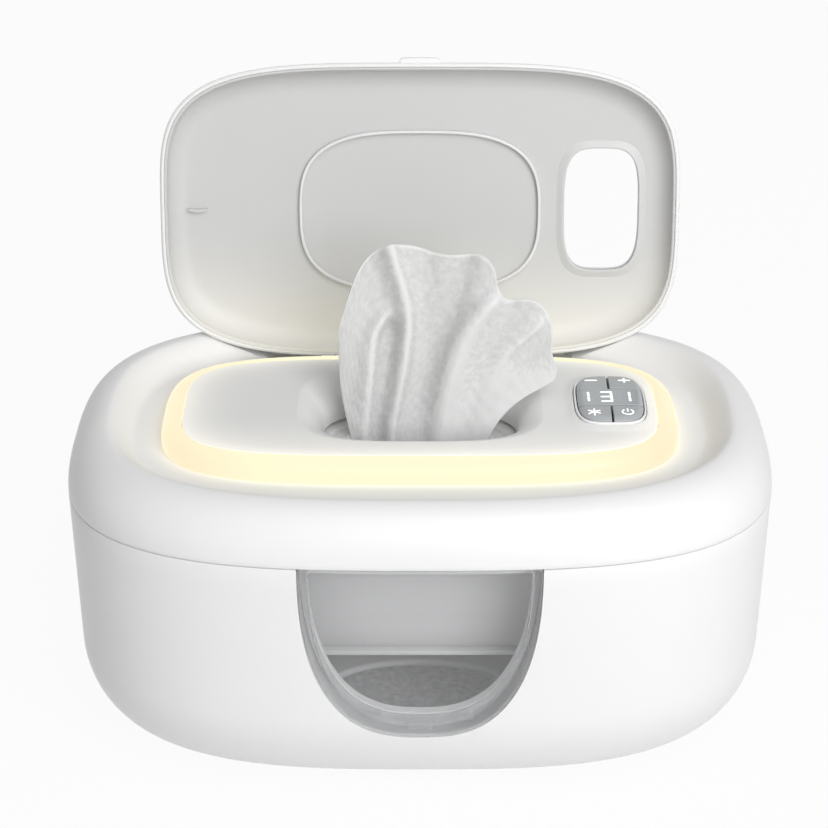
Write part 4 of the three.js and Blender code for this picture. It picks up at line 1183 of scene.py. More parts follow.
@dataclass
class InnerTank:
    """The tank that hangs in the bowl, with a well in its floor for the pad."""

    under: float = 16.0
    floor: float = 18.0
    rim: float = 97.3
    well: Outline = Outline(36.0, 26.0, 2.2, 0.0, -37.0)
    well_floor: float = 13.0
    wall: float = 2.0

    def rows(self) -> np.ndarray:
        """Rows from under the well up the outside, over the flange, down the inside and into the well."""
        well_out = self.well.inset(-self.wall)
        corners = [
            (well_out.inset(2.0).row(self.well_floor - self.wall), 0.0),
            (well_out.row(self.well_floor - self.wall), 1.2),
            (well_out.row(self.under), 0.6),
            (SEAM.inset(19.5).row(self.under), 3.5),
            (SEAM.inset(16.3).row(self.under + 4.2), 4.0),
            (SEAM.inset(12.5).row(self.rim - self.wall), 0.6),
            (SEAM.inset(3.0).row(self.rim - self.wall), 0.3),
            (SEAM.inset(3.0).row(self.rim), 0.3),
            (SEAM.inset(14.5).row(self.rim), 0.9),
            (SEAM.inset(18.4).row(self.floor + 4.2), 4.0),
            (SEAM.inset(21.5).row(self.floor), 3.5),
            (self.well.inset(-0.9).row(self.floor), 0.5),
            (self.well.row(self.floor - 0.9), 0.5),
            (self.well.row(self.well_floor), 1.0),
            (self.well.inset(3.0).row(self.well_floor), 0.0),
        ]
        path = rounded([row for row, _ in corners], [r for _, r in corners[1:-1]], 5)
        return dense(path, 14.0)

    def build(self) -> None:
        """Builds the tank, cuts the window's opening and clears the flange for the window's frame."""
        guide = [(3.1, 17.0), (3.1, 20.7), (2.8, 21.0)]
        parts = [rod_z(sx * SPRING_X, sy * SPRING_Y, guide) for sx, sy in CORNERS]
        obj = loft(self.rows(), 288).join(*parts).to_object("tank_moulding")
        clearance = Outline(41.3, 8.0, 30.0, 0.0, -84.1)
        cuts = [
            ARCH.cutter(2.9, 91.0, -100.0, -48.5),
            loft(np.array([clearance.row(94.0), clearance.row(99.0)]), MEDIUM),
        ]
        carve(obj, cuts)
        fit(obj, Body.BASE, TANK, ["inner_tank"])


@dataclass
class FrontWindow:
    """The clear window with its frame that runs back to the tank, three clips, and the seal behind it."""

    thickness: float = 2.6
    seam_gap: float = 0.3
    top: float = 98.85
    inner_top: float = 96.25
    seal: float = 1.4
    clips: tuple[tuple[float, float, float], ...] = ((-15.5, 2.7, 1.3), (0.0, 4.2, 1.6), (15.5, 2.7, 1.3))

    def ring(self, inset: float, top: float, y_of: Callable[..., np.ndarray]) -> np.ndarray:
        """A loop of the outline whose Y follows a surface."""
        flat = ARCH.loop(inset, top, 224)
        return np.stack([flat[:, 0], y_of(flat[:, 0], flat[:, 1]), flat[:, 1]], 1)

    def face(self, inset: float, top: float, inside: float, shares: np.ndarray) -> np.ndarray:
        """Loops over a face: the outline shrunk towards the middle by shares, on the bowl's skin."""
        flat = ARCH.loop(inset, top, 224)
        middle = np.array([0.0, 70.0])
        xz = middle + (flat - middle)[None] * shares[:, None, None]
        y = BOWL.front_y(xz[..., 0], xz[..., 1], inside)
        return np.stack([xz[..., 0], y, xz[..., 1]], 2)

    def frame_back(self, x: np.ndarray, z: np.ndarray) -> np.ndarray:
        """Where the frame ends, just before the seal."""
        return np.minimum(TANK_FORM.front_y(x, z, self.seal + 2 * GAP), -68.5)

    def pane_shape(self) -> Shape:
        """One closed skin: outer face, rounded edge, the frame's outside, end and inside, inner face."""
        out = self.seam_gap
        inner = out + self.thickness
        shares = np.linspace(0.02, 1.0, 26)
        outer_face = self.face(out + 0.5, self.top - 0.5, 0.0, shares)
        edge = [
            self.ring(out + 0.14, self.top - 0.14, lambda x, z: BOWL.front_y(x, z) + 0.12),
            self.ring(out, self.top, lambda x, z: BOWL.front_y(x, z) + 0.5),
        ]
        sides = []
        for share in (0.35, 0.7, 0.94):
            sides.append(self.ring(out, self.top, lambda x, z, s=share: (1 - s) * (BOWL.front_y(x, z) + 0.5)
                                   + s * self.frame_back(x, z)))
        end = [
            self.ring(out + 0.25, self.top - 0.25, self.frame_back),
            self.ring(inner - 0.25, self.inner_top + 0.25, self.frame_back),
        ]
        back_sides = []
        for share in (0.94, 0.7, 0.35, 0.1):
            back_sides.append(self.ring(inner, self.inner_top, lambda x, z, s=share: (1 - s)
                                        * BOWL.front_y(x, z, self.thickness) + s * self.frame_back(x, z)))
        inner_face = self.face(inner + 0.5, self.inner_top - 0.5, self.thickness, shares[::-1])
        loops = np.concatenate([outer_face, edge, sides, end, back_sides, inner_face])
        return skin(loops[::-1])

    def clip_shape(self, x: float, half: float, rise: float) -> Shape:
        """A small rounded catch on the frame's floor."""
        floor = ARCH.loop(self.seam_gap + self.thickness, self.inner_top, 448)
        near = floor[np.abs(floor[:, 0] - x) < half + 0.8]
        low = float(near[near[:, 1] < 60.0][:, 1].max())
        outline = Outline(half, 1.0, 5.0, x, -81.9)
        rows = [
            *outline.at(
                (0.0, low - 1.6), (0.0, low + rise - 0.4), (0.12, low + rise - 0.12), (0.4, low + rise),
            ),
        ]
        return loft(np.array(rows), COARSE)

    def seal_shape(self) -> Shape:
        """The soft ring between the frame and the tank."""
        out = self.seam_gap
        inner = out + self.thickness

        def near(x: np.ndarray, z: np.ndarray) -> np.ndarray:
            return np.minimum(TANK_FORM.front_y(x, z, self.seal + GAP), -68.5)

        def far(x: np.ndarray, z: np.ndarray) -> np.ndarray:
            return np.minimum(TANK_FORM.front_y(x, z, GAP), -68.5)

        loops = [
            self.ring(out + 0.2, self.top - 0.2, far),
            self.ring(inner - 0.2, self.inner_top + 0.2, far),
            self.ring(inner, self.inner_top, lambda x, z: far(x, z) - 0.25),
            self.ring(inner, self.inner_top, lambda x, z: near(x, z) + 0.25),
            self.ring(inner - 0.2, self.inner_top + 0.2, near),
            self.ring(out + 0.2, self.top - 0.2, near),
            self.ring(out, self.top, lambda x, z: near(x, z) + 0.25),
            self.ring(out, self.top, lambda x, z: far(x, z) - 0.25),
        ]
        return skin(np.array(loops[::-1]), wrap=True)

    def build(self) -> None:
        """Builds the pane with its clips, and the seal."""
        clips = [self.clip_shape(*clip) for clip in self.clips]
        pane = self.pane_shape().join(*clips).to_object("clear_window_pane")
        fit(pane, Body.BASE, CLEAR, ["window_pane"])
        seal = self.seal_shape().to_object("window_seal_ring")
        fit(seal, Body.BASE, WINDOW_SILICONE, ["window_seal"])


@dataclass
class LiftAndPack:
    """The pad in its well, the lift plate on its four springs and the stack of wipes that it raises."""

    plate: Outline = Outline(98.0, 51.5, 8.0, 0.0, 1.0)
    plate_low: float = 44.0
    plate_high: float = 45.8
    coil: float = 4.2
    wire: float = 0.5
    turns: float = 4.0
    stack: Outline = Outline(94.0, 50.5, 7.0, 0.0, 0.5)
    stack_low: float = 46.1
    stack_high: float = 98.6
    crown: float = 7.0
    bulge: float = 3.0

    def build_pad(self) -> None:
        """A felt pad: rounded edges, a slightly hollow middle and a matted top."""
        pad = Outline(35.7, 25.7, 2.2, 0.0, -37.0)
        rows = [pad.inset(0.8).row(13.3), pad.inset(0.1).row(13.6), pad.row(14.0), pad.row(15.6)]
        rows += [pad.inset(i).row(z) for i, z in ((0.15, 16.2), (0.6, 16.55), (1.3, 16.7))]
        inward = np.linspace(2.5, 24.0, 22)
        rows += [pad.inset(i).row(16.7 - 0.45 * float(smoothstep(0.0, 12.0, np.array(i)))) for i in inward]
        shape = loft(np.array(rows), 224)
        p = shape.points
        matted = 0.07 * np.sin(p[:, 0] * 1.7 + 2.0 * np.sin(p[:, 1] * 0.9)) * np.cos(p[:, 1] * 1.3)
        p[:, 2] -= np.where(p[:, 2] > 16.0, 0.07 + matted, 0.0)
        fit(shape.to_object("felt_pad"), Body.BASE, FELT, ["moisture_pad"])

    def build_plate(self) -> None:
        """A flat plate with rounded edges and four short pegs under it."""
        rows = [
            *self.plate.at(
                (0.6, self.plate_low), (0.15, self.plate_low + 0.15), (0.0, self.plate_low + 0.6),
                (0.0, self.plate_high - 0.6), (0.15, self.plate_high - 0.15), (0.6, self.plate_high),
                (6.0, self.plate_high),
            ),
        ]
        pegs = [
            rod_z(sx * SPRING_X, sy * SPRING_Y, [(2.8, 41.0), (3.1, 41.3), (3.1, 44.6)])
            for sx, sy in CORNERS
        ]
        obj = loft(np.array(rows), 256).join(*pegs).to_object("lift_plate_moulding")
        fit(obj, Body.LIFT, HIDDEN_WHITE, ["lift_plate"])

    def build_springs(self) -> None:
        """Four coils: a helix that lies flat for its first and last half turns."""
        low, high = 18.8, 43.2
        share = np.linspace(0.0, 1.0, 241)
        flat = 0.5 / self.turns
        rise = np.clip((share - flat * 0.8) / (1 - 1.6 * flat), 0.0, 1.0)
        rise = rise - 0.02 * np.sin(2 * math.pi * rise)
        angle = 2 * math.pi * self.turns * share
        for corner in Corner:
            sx, sy = corner.value
            path = np.stack(
                [
                    sx * SPRING_X + self.coil * np.cos(angle),
                    sy * SPRING_Y + self.coil * np.sin(angle),
                    low + (high - low) * rise,
                ],
                1,
            )
            obj = tube(path, self.wire, 10).to_object(f"coil_spring_{corner.label}", 60.0)
            fit(obj, "", STEEL, [f"lift_spring_{corner.label}"])
            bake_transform(obj)

    def build_stack(self) -> None:
        """The wrapped stack: upright faces that swell a little, and a soft crowned top.

        The crown's rise is 1 - (1 - s)^3 of how far in the row is. Its outline turns from square to oval.
        """
        full = self.stack
        edge = self.stack_high - self.crown
        rows = []
        for t in np.linspace(0.0, 1.0, 7):
            inset = self.bulge * (1 - math.sin(t * math.pi / 2))
            rows.append(full.inset(inset).row(self.stack_low + 8.0 * t**2))
        for z in np.linspace(self.stack_low + 12.0, edge - 8.0, 9):
            rows.append(full.row(float(z)))
        for t in np.linspace(0.0, 1.0, 6)[1:]:
            rows.append(full.inset(self.bulge / 2 * t**2).row(edge - 8.0 + 8.0 * t))
        half_x, half_y = full.half_x - self.bulge / 2, full.half_y - self.bulge / 2
        for s in np.concatenate([np.linspace(0.004, 0.1, 9), np.linspace(0.13, 0.95, 22)]):
            power = full.power + (2.0 - full.power) * math.sqrt(s)
            z = edge + self.crown * (1 - (1 - s) ** 3)
            rows.append([half_x * (1 - s), half_y * (1 - s), power, full.x, full.y, z])
        shape = loft(np.array(rows), 256)
        p = shape.points
        top = smoothstep(edge, self.stack_high - 1.0, p[:, 2])
        ripple = np.sin(p[:, 0] * 0.11 + 1.2 * np.sin(p[:, 1] * 0.09)) * np.cos(p[:, 1] * 0.13 + 0.6)
        p[:, 2] -= top * 0.35 * (1 + ripple)
        obj = shape.to_object("wipe_stack", 50.0)
        fit(obj, "", PACK, ["wipe_pack"])
        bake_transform(obj)

    def build(self) -> None:
        """Builds the pad, the plate, the springs and the stack."""
        self.build_pad()
        self.build_plate()
        self.build_springs()
        self.build_stack()


@dataclass
class RearInlet:
    """The round power socket in the rear wall."""

    z: float = 50.0

    def build(self) -> None:
        """A turned barrel with its flange inside the wall, an open bore and a pin on its axis."""
        profile = [
            (1.0, 80.0),
            (5.0, 80.0),
            (5.2, 80.2),
            (5.2, 81.8),
            (7.8, 81.8),
            (8.0, 82.0),
            (8.0, 83.8),
            (7.8, 84.0),
            (5.2, 84.0),
            (5.2, 86.1),
            (5.0, 86.4),
            (4.7, 86.5),
            (3.5, 86.5),
            (3.2, 86.2),
            (3.2, 81.5),
            (1.0, 81.5),
            (1.0, 85.1),
            (0.8, 85.4),
            (0.4, 85.5),
        ]
        obj = turned_y(0.0, self.z, profile).to_object("power_socket")
        fit(obj, Body.BASE, BLACK, ["power_inlet"])


# The cover

RING = Outline(92.0, 48.0, 3.4, 0.0, -1.0)
LID_Y = 55.0
LID_Z = 110.2
OPEN_ANGLE = -100.0


@dataclass
class CoverShell:
    """The cover's outer shell: a shoulder up to a crest, a dish down to a flat floor, hinge parts."""

    crest_set: float = 14.0
    crest_z: float = 118.5
    floor_set: float = 24.0
    floor_z: float = 110.5
    wall: float = 2.4
    opening: Outline = Outline(79.3, 35.3, 2.6, 0.0, -1.0)
    pocket: Outline = Outline(80.0, 10.7, 10.0, 0.0, 60.5)
    pocket_floor: float = 106.5
    pocket_steps: tuple[tuple[Outline, float], ...] = (
        (Outline(56.0, 10.7, 10.0, 0.0, 60.5), 106.5),
        (Outline(58.0, 10.7, 10.0, 0.0, 60.5), 109.5),
        (Outline(62.0, 10.0, 10.0, 0.0, 61.4), 110.7),
        (Outline(70.0, 8.6, 9.0, 0.0, 63.4), 113.7),
        (Outline(75.0, 8.3, 8.0, 0.0, 63.8), 115.8),
        (Outline(79.5, 8.3, 8.0, 0.0, 63.8), 118.2),
        (Outline(80.0, 8.3, 8.0, 0.0, 63.8), 128.0),
    )
    knuckle: tuple[float, float] = (50.4, 60.4)
    other_knuckle: tuple[float, float] = (40.0, 50.0)
    lugs: Points = ((14.6, 19.6), (32.4, 37.4))

    def skin_rows(
        self, start: float, crest_z: float, end: float, floor_z: float, steps: int
    ) -> list[list[float]]:
        """Rows of one skin: a quarter ellipse up the shoulder, mostly half a cosine down the dish."""
        rows = []
        for t in np.linspace(0.0, math.pi / 2, steps):
            out = 1 - math.cos(t)
            inset = start + (self.crest_set - start) * out
            z = SEAM_HIGH + (crest_z - SEAM_HIGH) * math.sin(t)
            rows.append(SEAM.inset(inset, 3.0 - 0.2 * out).row(z))
        for u in np.linspace(0.0, 1.0, steps)[1:]:
            inset = self.crest_set + (end - self.crest_set) * u
            fall = 0.72 * (1 - math.cos(math.pi * u)) / 2 + 0.28 * math.sin(math.pi * u / 2)
            z = crest_z + (floor_z - crest_z) * fall
            rows.append(SEAM.inset(inset, 2.8 - 0.1 * u).row(z))
        return rows

    def rows(self) -> np.ndarray:
        """All rows: over the outside, across the floor to the opening, and back under."""
        outside = self.skin_rows(0.0, self.crest_z, self.floor_set, self.floor_z, 18)
        first = [SEAM.inset(0.42).row(SEAM_HIGH), SEAM.inset(0.12).row(SEAM_HIGH + 0.12)]
        outside[0] = SEAM.row(SEAM_HIGH + 0.42)
        under = self.under_rows()
        low = self.floor_z - self.wall
        edge = [
            *self.opening.at(
                (-1.0, self.floor_z), (-0.3, self.floor_z - 0.08), (0.0, self.floor_z - 0.4), (0.0, low),
            ),
        ]
        floor = dense(np.array([outside[-1], edge[0]]), 1.6)[1:-1]
        below = dense(np.array([edge[-1], under[-1]]), 6.0)[1:-1]
        return np.vstack([first, outside, floor, edge, below, under[::-1]])

    def lug_shapes(self) -> list[Shape]:
        """Lid hinge lugs: a barrel on a post whose profile hugs it."""
        parts = []
        a = np.radians(np.linspace(-160.0, -20.0, 15))
        arc = np.stack([LID_Y + 2.2 * np.cos(a), LID_Z + 2.2 * np.sin(a)], 1)
        foot = np.array([(LID_Y - 2.2, 105.5), (LID_Y + 2.2, 105.5)])
        profile = np.vstack([foot, arc[::-1]])
        for side in (-1, 1):
            for start, end in self.lugs:
                near, far = sorted((side * start, side * end))
                parts.append(sleeve_x(near, far, LID_Y, LID_Z, 2.6, 1.3))
                parts.append(run_x(profile, near, far, 0.2))
        return parts

    def build(self) -> None:
        """Builds the shell, sinks the hinge pocket, clears the bowl's knuckles and adds its own."""
        shape = loft(self.rows(), 384, wrap=True)
        p = shape.points
        deep = self.pocket.inset(-2.6, 10.0).reach(p[:, 0], p[:, 1]) < 1.0
        low = np.minimum(p[:, 2], self.pocket_floor - 2.0)
        p[:, 2] = np.where(self.under_mask(p) & deep, low, p[:, 2])
        obj = shape.to_object("cover_moulding", 30.0)
        pocket = loft(np.array([outline.row(z) for outline, z in self.pocket_steps]), MEDIUM)
        # Painted glow of the light ring's spill light on the cover's dish near the ring.
        paint_ring_glow(obj, p)
        carve(obj, [pocket, *knuckle_room(self.other_knuckle)], 30.0)
        knuckles = knuckle_shapes(self.knuckle, self.wall, SEAM_HIGH + 0.02, SEAM_HIGH + 5.0, 1)
        extra = self.lug_shapes() + knuckles + self.screw_posts()
        join_into(obj, extra, 30.0)
        fit(obj, Body.COVER, COVER_WHITE, ["top_shell"])

    def under_mask(self, p: np.ndarray) -> np.ndarray:
        """Which points are on the underside, by their rows' place in the loft."""
        count = 384
        return np.arange(len(p)) // count >= len(p) // count - self.under_row_count()

    def under_rows(self) -> list[list[float]]:
        """Rows of the skin's underside, from the seam to the floor."""
        low = self.floor_z - self.wall
        return self.skin_rows(self.wall, self.crest_z - 2.6, self.floor_set - 0.5, low, 9)

    def under_row_count(self) -> int:
        """How many of the loft's rows lie on the underside."""
        under = self.under_rows()
        row = np.array([self.opening.row(self.floor_z - self.wall), under[-1]])
        return len(under) + len(dense(row, 6.0)) - 2

    def screw_posts(self) -> list[Shape]:
        """Hollow posts under the shell for the cover's screws."""
        inside = [(0.05, 106.2), (1.6, 106.2), (1.6, 102.3), (1.8, 102.2)]
        outside = [(3.3, 102.2), (3.4, 102.3), (3.4, 110.4)]
        return [rod_z(sx * COVER_SCREW_X, sy * COVER_SCREW_Y, inside + outside) for sx, sy in CORNERS]


def mark_points(mesh: bpy.types.Mesh, name: str, values: np.ndarray) -> None:
    """Gives each point a value that a finish reads by its name."""
    mesh.attributes.new(name, "FLOAT", "POINT").data.foreach_set("value", values.astype(np.float32))


def paint_ring_glow(obj: bpy.types.Object, points: np.ndarray) -> None:
    """Paints a glow of the ring's spill light onto each point, as a value: exp(-distance / 3) off the ring.
    """
    distance = np.clip(RING.reach(points[:, 0], points[:, 1]) - 1, 0.0, 5.0) * RING.half_y
    share = np.exp(-distance / 3.0) * (points[:, 2] > 108.0)
    mark_points(obj.data, "painted_glow", share)


def join_into(obj: bpy.types.Object, shapes: Sequence[Shape], sharp: float) -> None:
    """Adds shapes to an object's mesh as further closed skins."""
    build = bmesh.new()
    build.from_mesh(obj.data)
    for shape in shapes:
        other = bpy.data.meshes.new("joined")
        other.from_pydata((shape.points * MM).tolist(), [], shape.faces)
        build.from_mesh(other)
        bpy.data.meshes.remove(other)
    build.to_mesh(obj.data)
    build.free()
    shade(obj.data, sharp)


@dataclass
class Deck:
    """The deck with its funnel and raised collar, the dispensing ring and the light ring."""

    edge: Outline = Outline(84.3, 40.3, 4.0, 0.0, -1.0)
    ring: Outline = RING
    low: float = 110.8
    top: float = 118.4
    thickness: float = 2.0
    skirt: float = 1.6
    funnel: Outline = Outline(44.0, 31.0, 3.5)
    throat: Outline = Outline(35.0, 20.5, 2.6)
    throat_z: float = 107.2
    funnel_low: float = 105.2
    pod: Outline = Outline(12.7, 19.2, 3.6, 68.0, 0.4)
    collar_rise: float = 0.78
    collar_reach: float = 3.4
    band: float = 7.4

    def funnel_rows(self, grown: float, first: float, last: float, steps: int) -> list[list[float]]:
        """Rows down the funnel's lip: in as a power of an angle's sine, down as one less its cosine."""
        rows = []
        for t in np.radians(np.linspace(first, last, steps)):
            inward, drop = math.sin(t) ** 1.5, 1 - math.cos(t)
            half_x = self.funnel.half_x + (self.throat.half_x - self.funnel.half_x) * inward + grown
            half_y = self.funnel.half_y + (self.throat.half_y - self.funnel.half_y) * inward + grown
            power = self.funnel.power + (self.throat.power - self.funnel.power) * inward
            rows.append([half_x, half_y, power, 0.0, 0.0, self.top + (self.throat_z - self.top) * drop])
        return rows

    def rows(self) -> np.ndarray:
        """Up the skirt, over the deck, down the funnel, back up under it and down inside the skirt."""
        rim = [
            *self.edge.at(
                (0.2, self.low), (0.0, self.low + 0.2), (0.0, self.top - 0.35), (0.1, self.top - 0.1),
                (0.35, self.top),
            ),
        ]
        inside = self.funnel_rows(0.0, 3.0, 90.0, 16)
        flat = dense(np.array([rim[-1], self.funnel.row(self.top)]), 0.9)[1:]
        throat = [
            *self.throat.at(
                (0.0, self.funnel_low + 0.2), (-0.2, self.funnel_low), (-1.8, self.funnel_low),
                (-2.0, self.funnel_low + 0.2),
            ),
        ]
        outside = self.funnel_rows(2.0, 90.0, 35.0, 8)
        under_z = self.top - self.thickness
        under = [
            self.funnel.inset(-2.0).row(under_z),
            *self.edge.at(
                (self.skirt, under_z), (self.skirt, self.low + 0.2), (self.skirt - 0.2, self.low),
            ),
        ]
        return np.vstack([rim, flat, inside, throat, outside, under])

    def build_deck(self) -> None:
        """Lofts the deck, raises the collar by its distance from the pod, paints the ring's spill light and
        a lighter front on it as a glow, and cuts the pod's hole.
        """
        shape = loft(self.rows(), 448, wrap=True)
        p = shape.points
        distance = (self.pod.reach(p[:, 0], p[:, 1]) - 1) * self.pod.half_x
        rise = self.collar_rise * (1 - smoothstep(0.3, self.collar_reach, distance))
        edge = self.edge.reach(p[:, 0], p[:, 1])
        inside = 1 - smoothstep(0.965, 0.995, edge)
        p[:, 2] += np.where(p[:, 2] > self.top - 0.02, rise * inside, 0.0)
        obj = shape.to_object("deck_moulding", 40.0)
        # Painted glow: the ring's spill light near the deck's edge, and painted light on the top that grows
        # towards the front.
        painted_glow = np.exp(-np.clip(1 - edge, 0.0, 1.0) * self.edge.half_y / 3.5)
        front = 0.35 * smoothstep(0.2, 1.0, -p[:, 1] / self.edge.half_y) * (p[:, 2] > self.top - 0.3)
        mark_points(obj.data, "painted_glow", np.clip(painted_glow + front, 0.0, 1.0))
        hole = self.pod.inset(-GAP)
        carve(obj, [loft(np.array([hole.row(100.0), hole.row(130.0)]), FINE)], 40.0)
        fit(obj, Body.COVER, INNER_WHITE, ["deck_panel"])

    def build_ring(self) -> None:
        """The light ring: a short upright foot, then a quarter super-ellipse inwards, hollow below."""
        under_z = self.top - 2.0
        rows = [self.ring.inset(0.15).row(self.low), self.ring.row(self.low + 0.15)]
        for t in np.linspace(0.0, math.pi / 2, 21):
            share = 1 - math.cos(t) ** (1 / 1.3)
            power = self.ring.power + (self.edge.power - self.ring.power) * share
            z = 112.0 + (self.top - 112.0) * math.sin(t) ** (1 / 1.3)
            rows.append(self.ring.inset(self.band * share, power).row(z))
        rows.append(self.ring.inset(self.band, self.edge.power).row(under_z))
        for t in np.linspace(math.pi / 2, 0.0, 13)[1:]:
            share = 1 - math.cos(t) ** (1 / 1.3)
            power = self.ring.power + (self.edge.power - self.ring.power) * share
            z = 112.0 + (under_z - 112.0) * math.sin(t) ** (1 / 1.3)
            rows.append(self.ring.inset(2.0 + (self.band - 2.0) * share, power).row(z))
        rows.append(self.ring.inset(2.0).row(self.low))
        obj = loft(np.array(rows), 384, wrap=True).to_object("glowing_ring", 40.0)
        fit(obj, Body.COVER, GLOW, ["light_ring"])

    def build_slot_ring(self) -> None:
        """The soft ring at the bottom of the funnel, with a lip round its slot and a shallow groove."""
        outer = Outline(40.0, 25.0, 2.6)
        slot = Outline(24.5, 8.0, 2.4)
        low, high = 102.2, 104.9
        corners = [
            *outer.at((0.0, low), (0.0, high - 0.7)),
            *slot.at(
                (-9.0, high - 0.7), (-8.3, high - 1.1), (-6.9, high - 1.1), (-6.0, high - 0.7),
                (-3.2, high - 0.6), (-2.0, high), (-0.5, high), (0.0, high - 0.8), (0.0, low),
            ),
        ]
        rows = rounded(corners, [0.4, 0.3, 0.3, 0.3, 0.3, 0.8, 0.5, 0.6, 0.3], 4)
        obj = loft(rows, 256, wrap=True).to_object("slot_ring", 40.0)
        fit(obj, Body.COVER, SILICONE, ["dispensing_ring"])

    def build(self) -> None:
        """Builds the deck, the light ring and the slot ring."""
        self.build_deck()
        self.build_ring()
        self.build_slot_ring()


@dataclass
class CoverInside:
    """The plate and the seal under the cover, with the screws that hold the plate."""

    screw: Fastener = field(default_factory=Fastener)

    def build(self) -> None:
        """Builds the under cover with its shallow step, the seal's bead and the screws."""
        plate_outline = SEAM.inset(3.1)
        hole = Outline(31.0, 17.0, 2.6)
        low, high = 100.2, 101.9
        step = SEAM.inset(20.0)
        corners = [
            *plate_outline.at((0.0, low), (0.0, high)),
            *hole.at((0.0, high), (0.0, low + 0.4)),
            *step.at((1.0, low + 0.4), (0.0, low)),
        ]
        rows = dense(rounded(corners, [0.4, 0.4, 0.3, 0.4], 3), 12.0)
        obj = loft(rows, 288, wrap=True).to_object("under_cover_moulding", 30.0)
        bore = [(1.6, 98.0), (1.6, 104.0)]
        cuts = [rod_z(sx * COVER_SCREW_X, sy * COVER_SCREW_Y, bore, 40) for sx, sy in CORNERS]
        carve(obj, cuts, 30.0)
        fit(obj, Body.COVER, HIDDEN_WHITE, ["under_cover"])
        outer, inner = SEAM.inset(12.6), SEAM.inset(15.6)
        bead = [inner.row(97.6), outer.row(97.6), outer.row(99.9), inner.row(99.9)]
        path = rounded([*bead, bead[0], bead[1]], [0.9, 0.5, 0.5, 0.9], 5)[1:-1]
        seal = loft(path, 288, wrap=True).to_object("cover_seal_bead", 50.0)
        fit(seal, Body.COVER, SILICONE, ["cover_seal"])
        for corner in Corner:
            sx, sy = corner.value
            x, y = sx * COVER_SCREW_X, sy * COVER_SCREW_Y
            self.screw.build(f"cover_screw_{corner.label}", x, y, 98.8, Body.COVER)


class Icon(Enum):
    """The marks on the four keys, and where each stands from the pad's middle."""

    MINUS = (-6.0, 13.9)
    PLUS = (6.0, 13.9)
    LIGHT = (-6.3, -12.6)
    POWER = (5.5, -12.6)


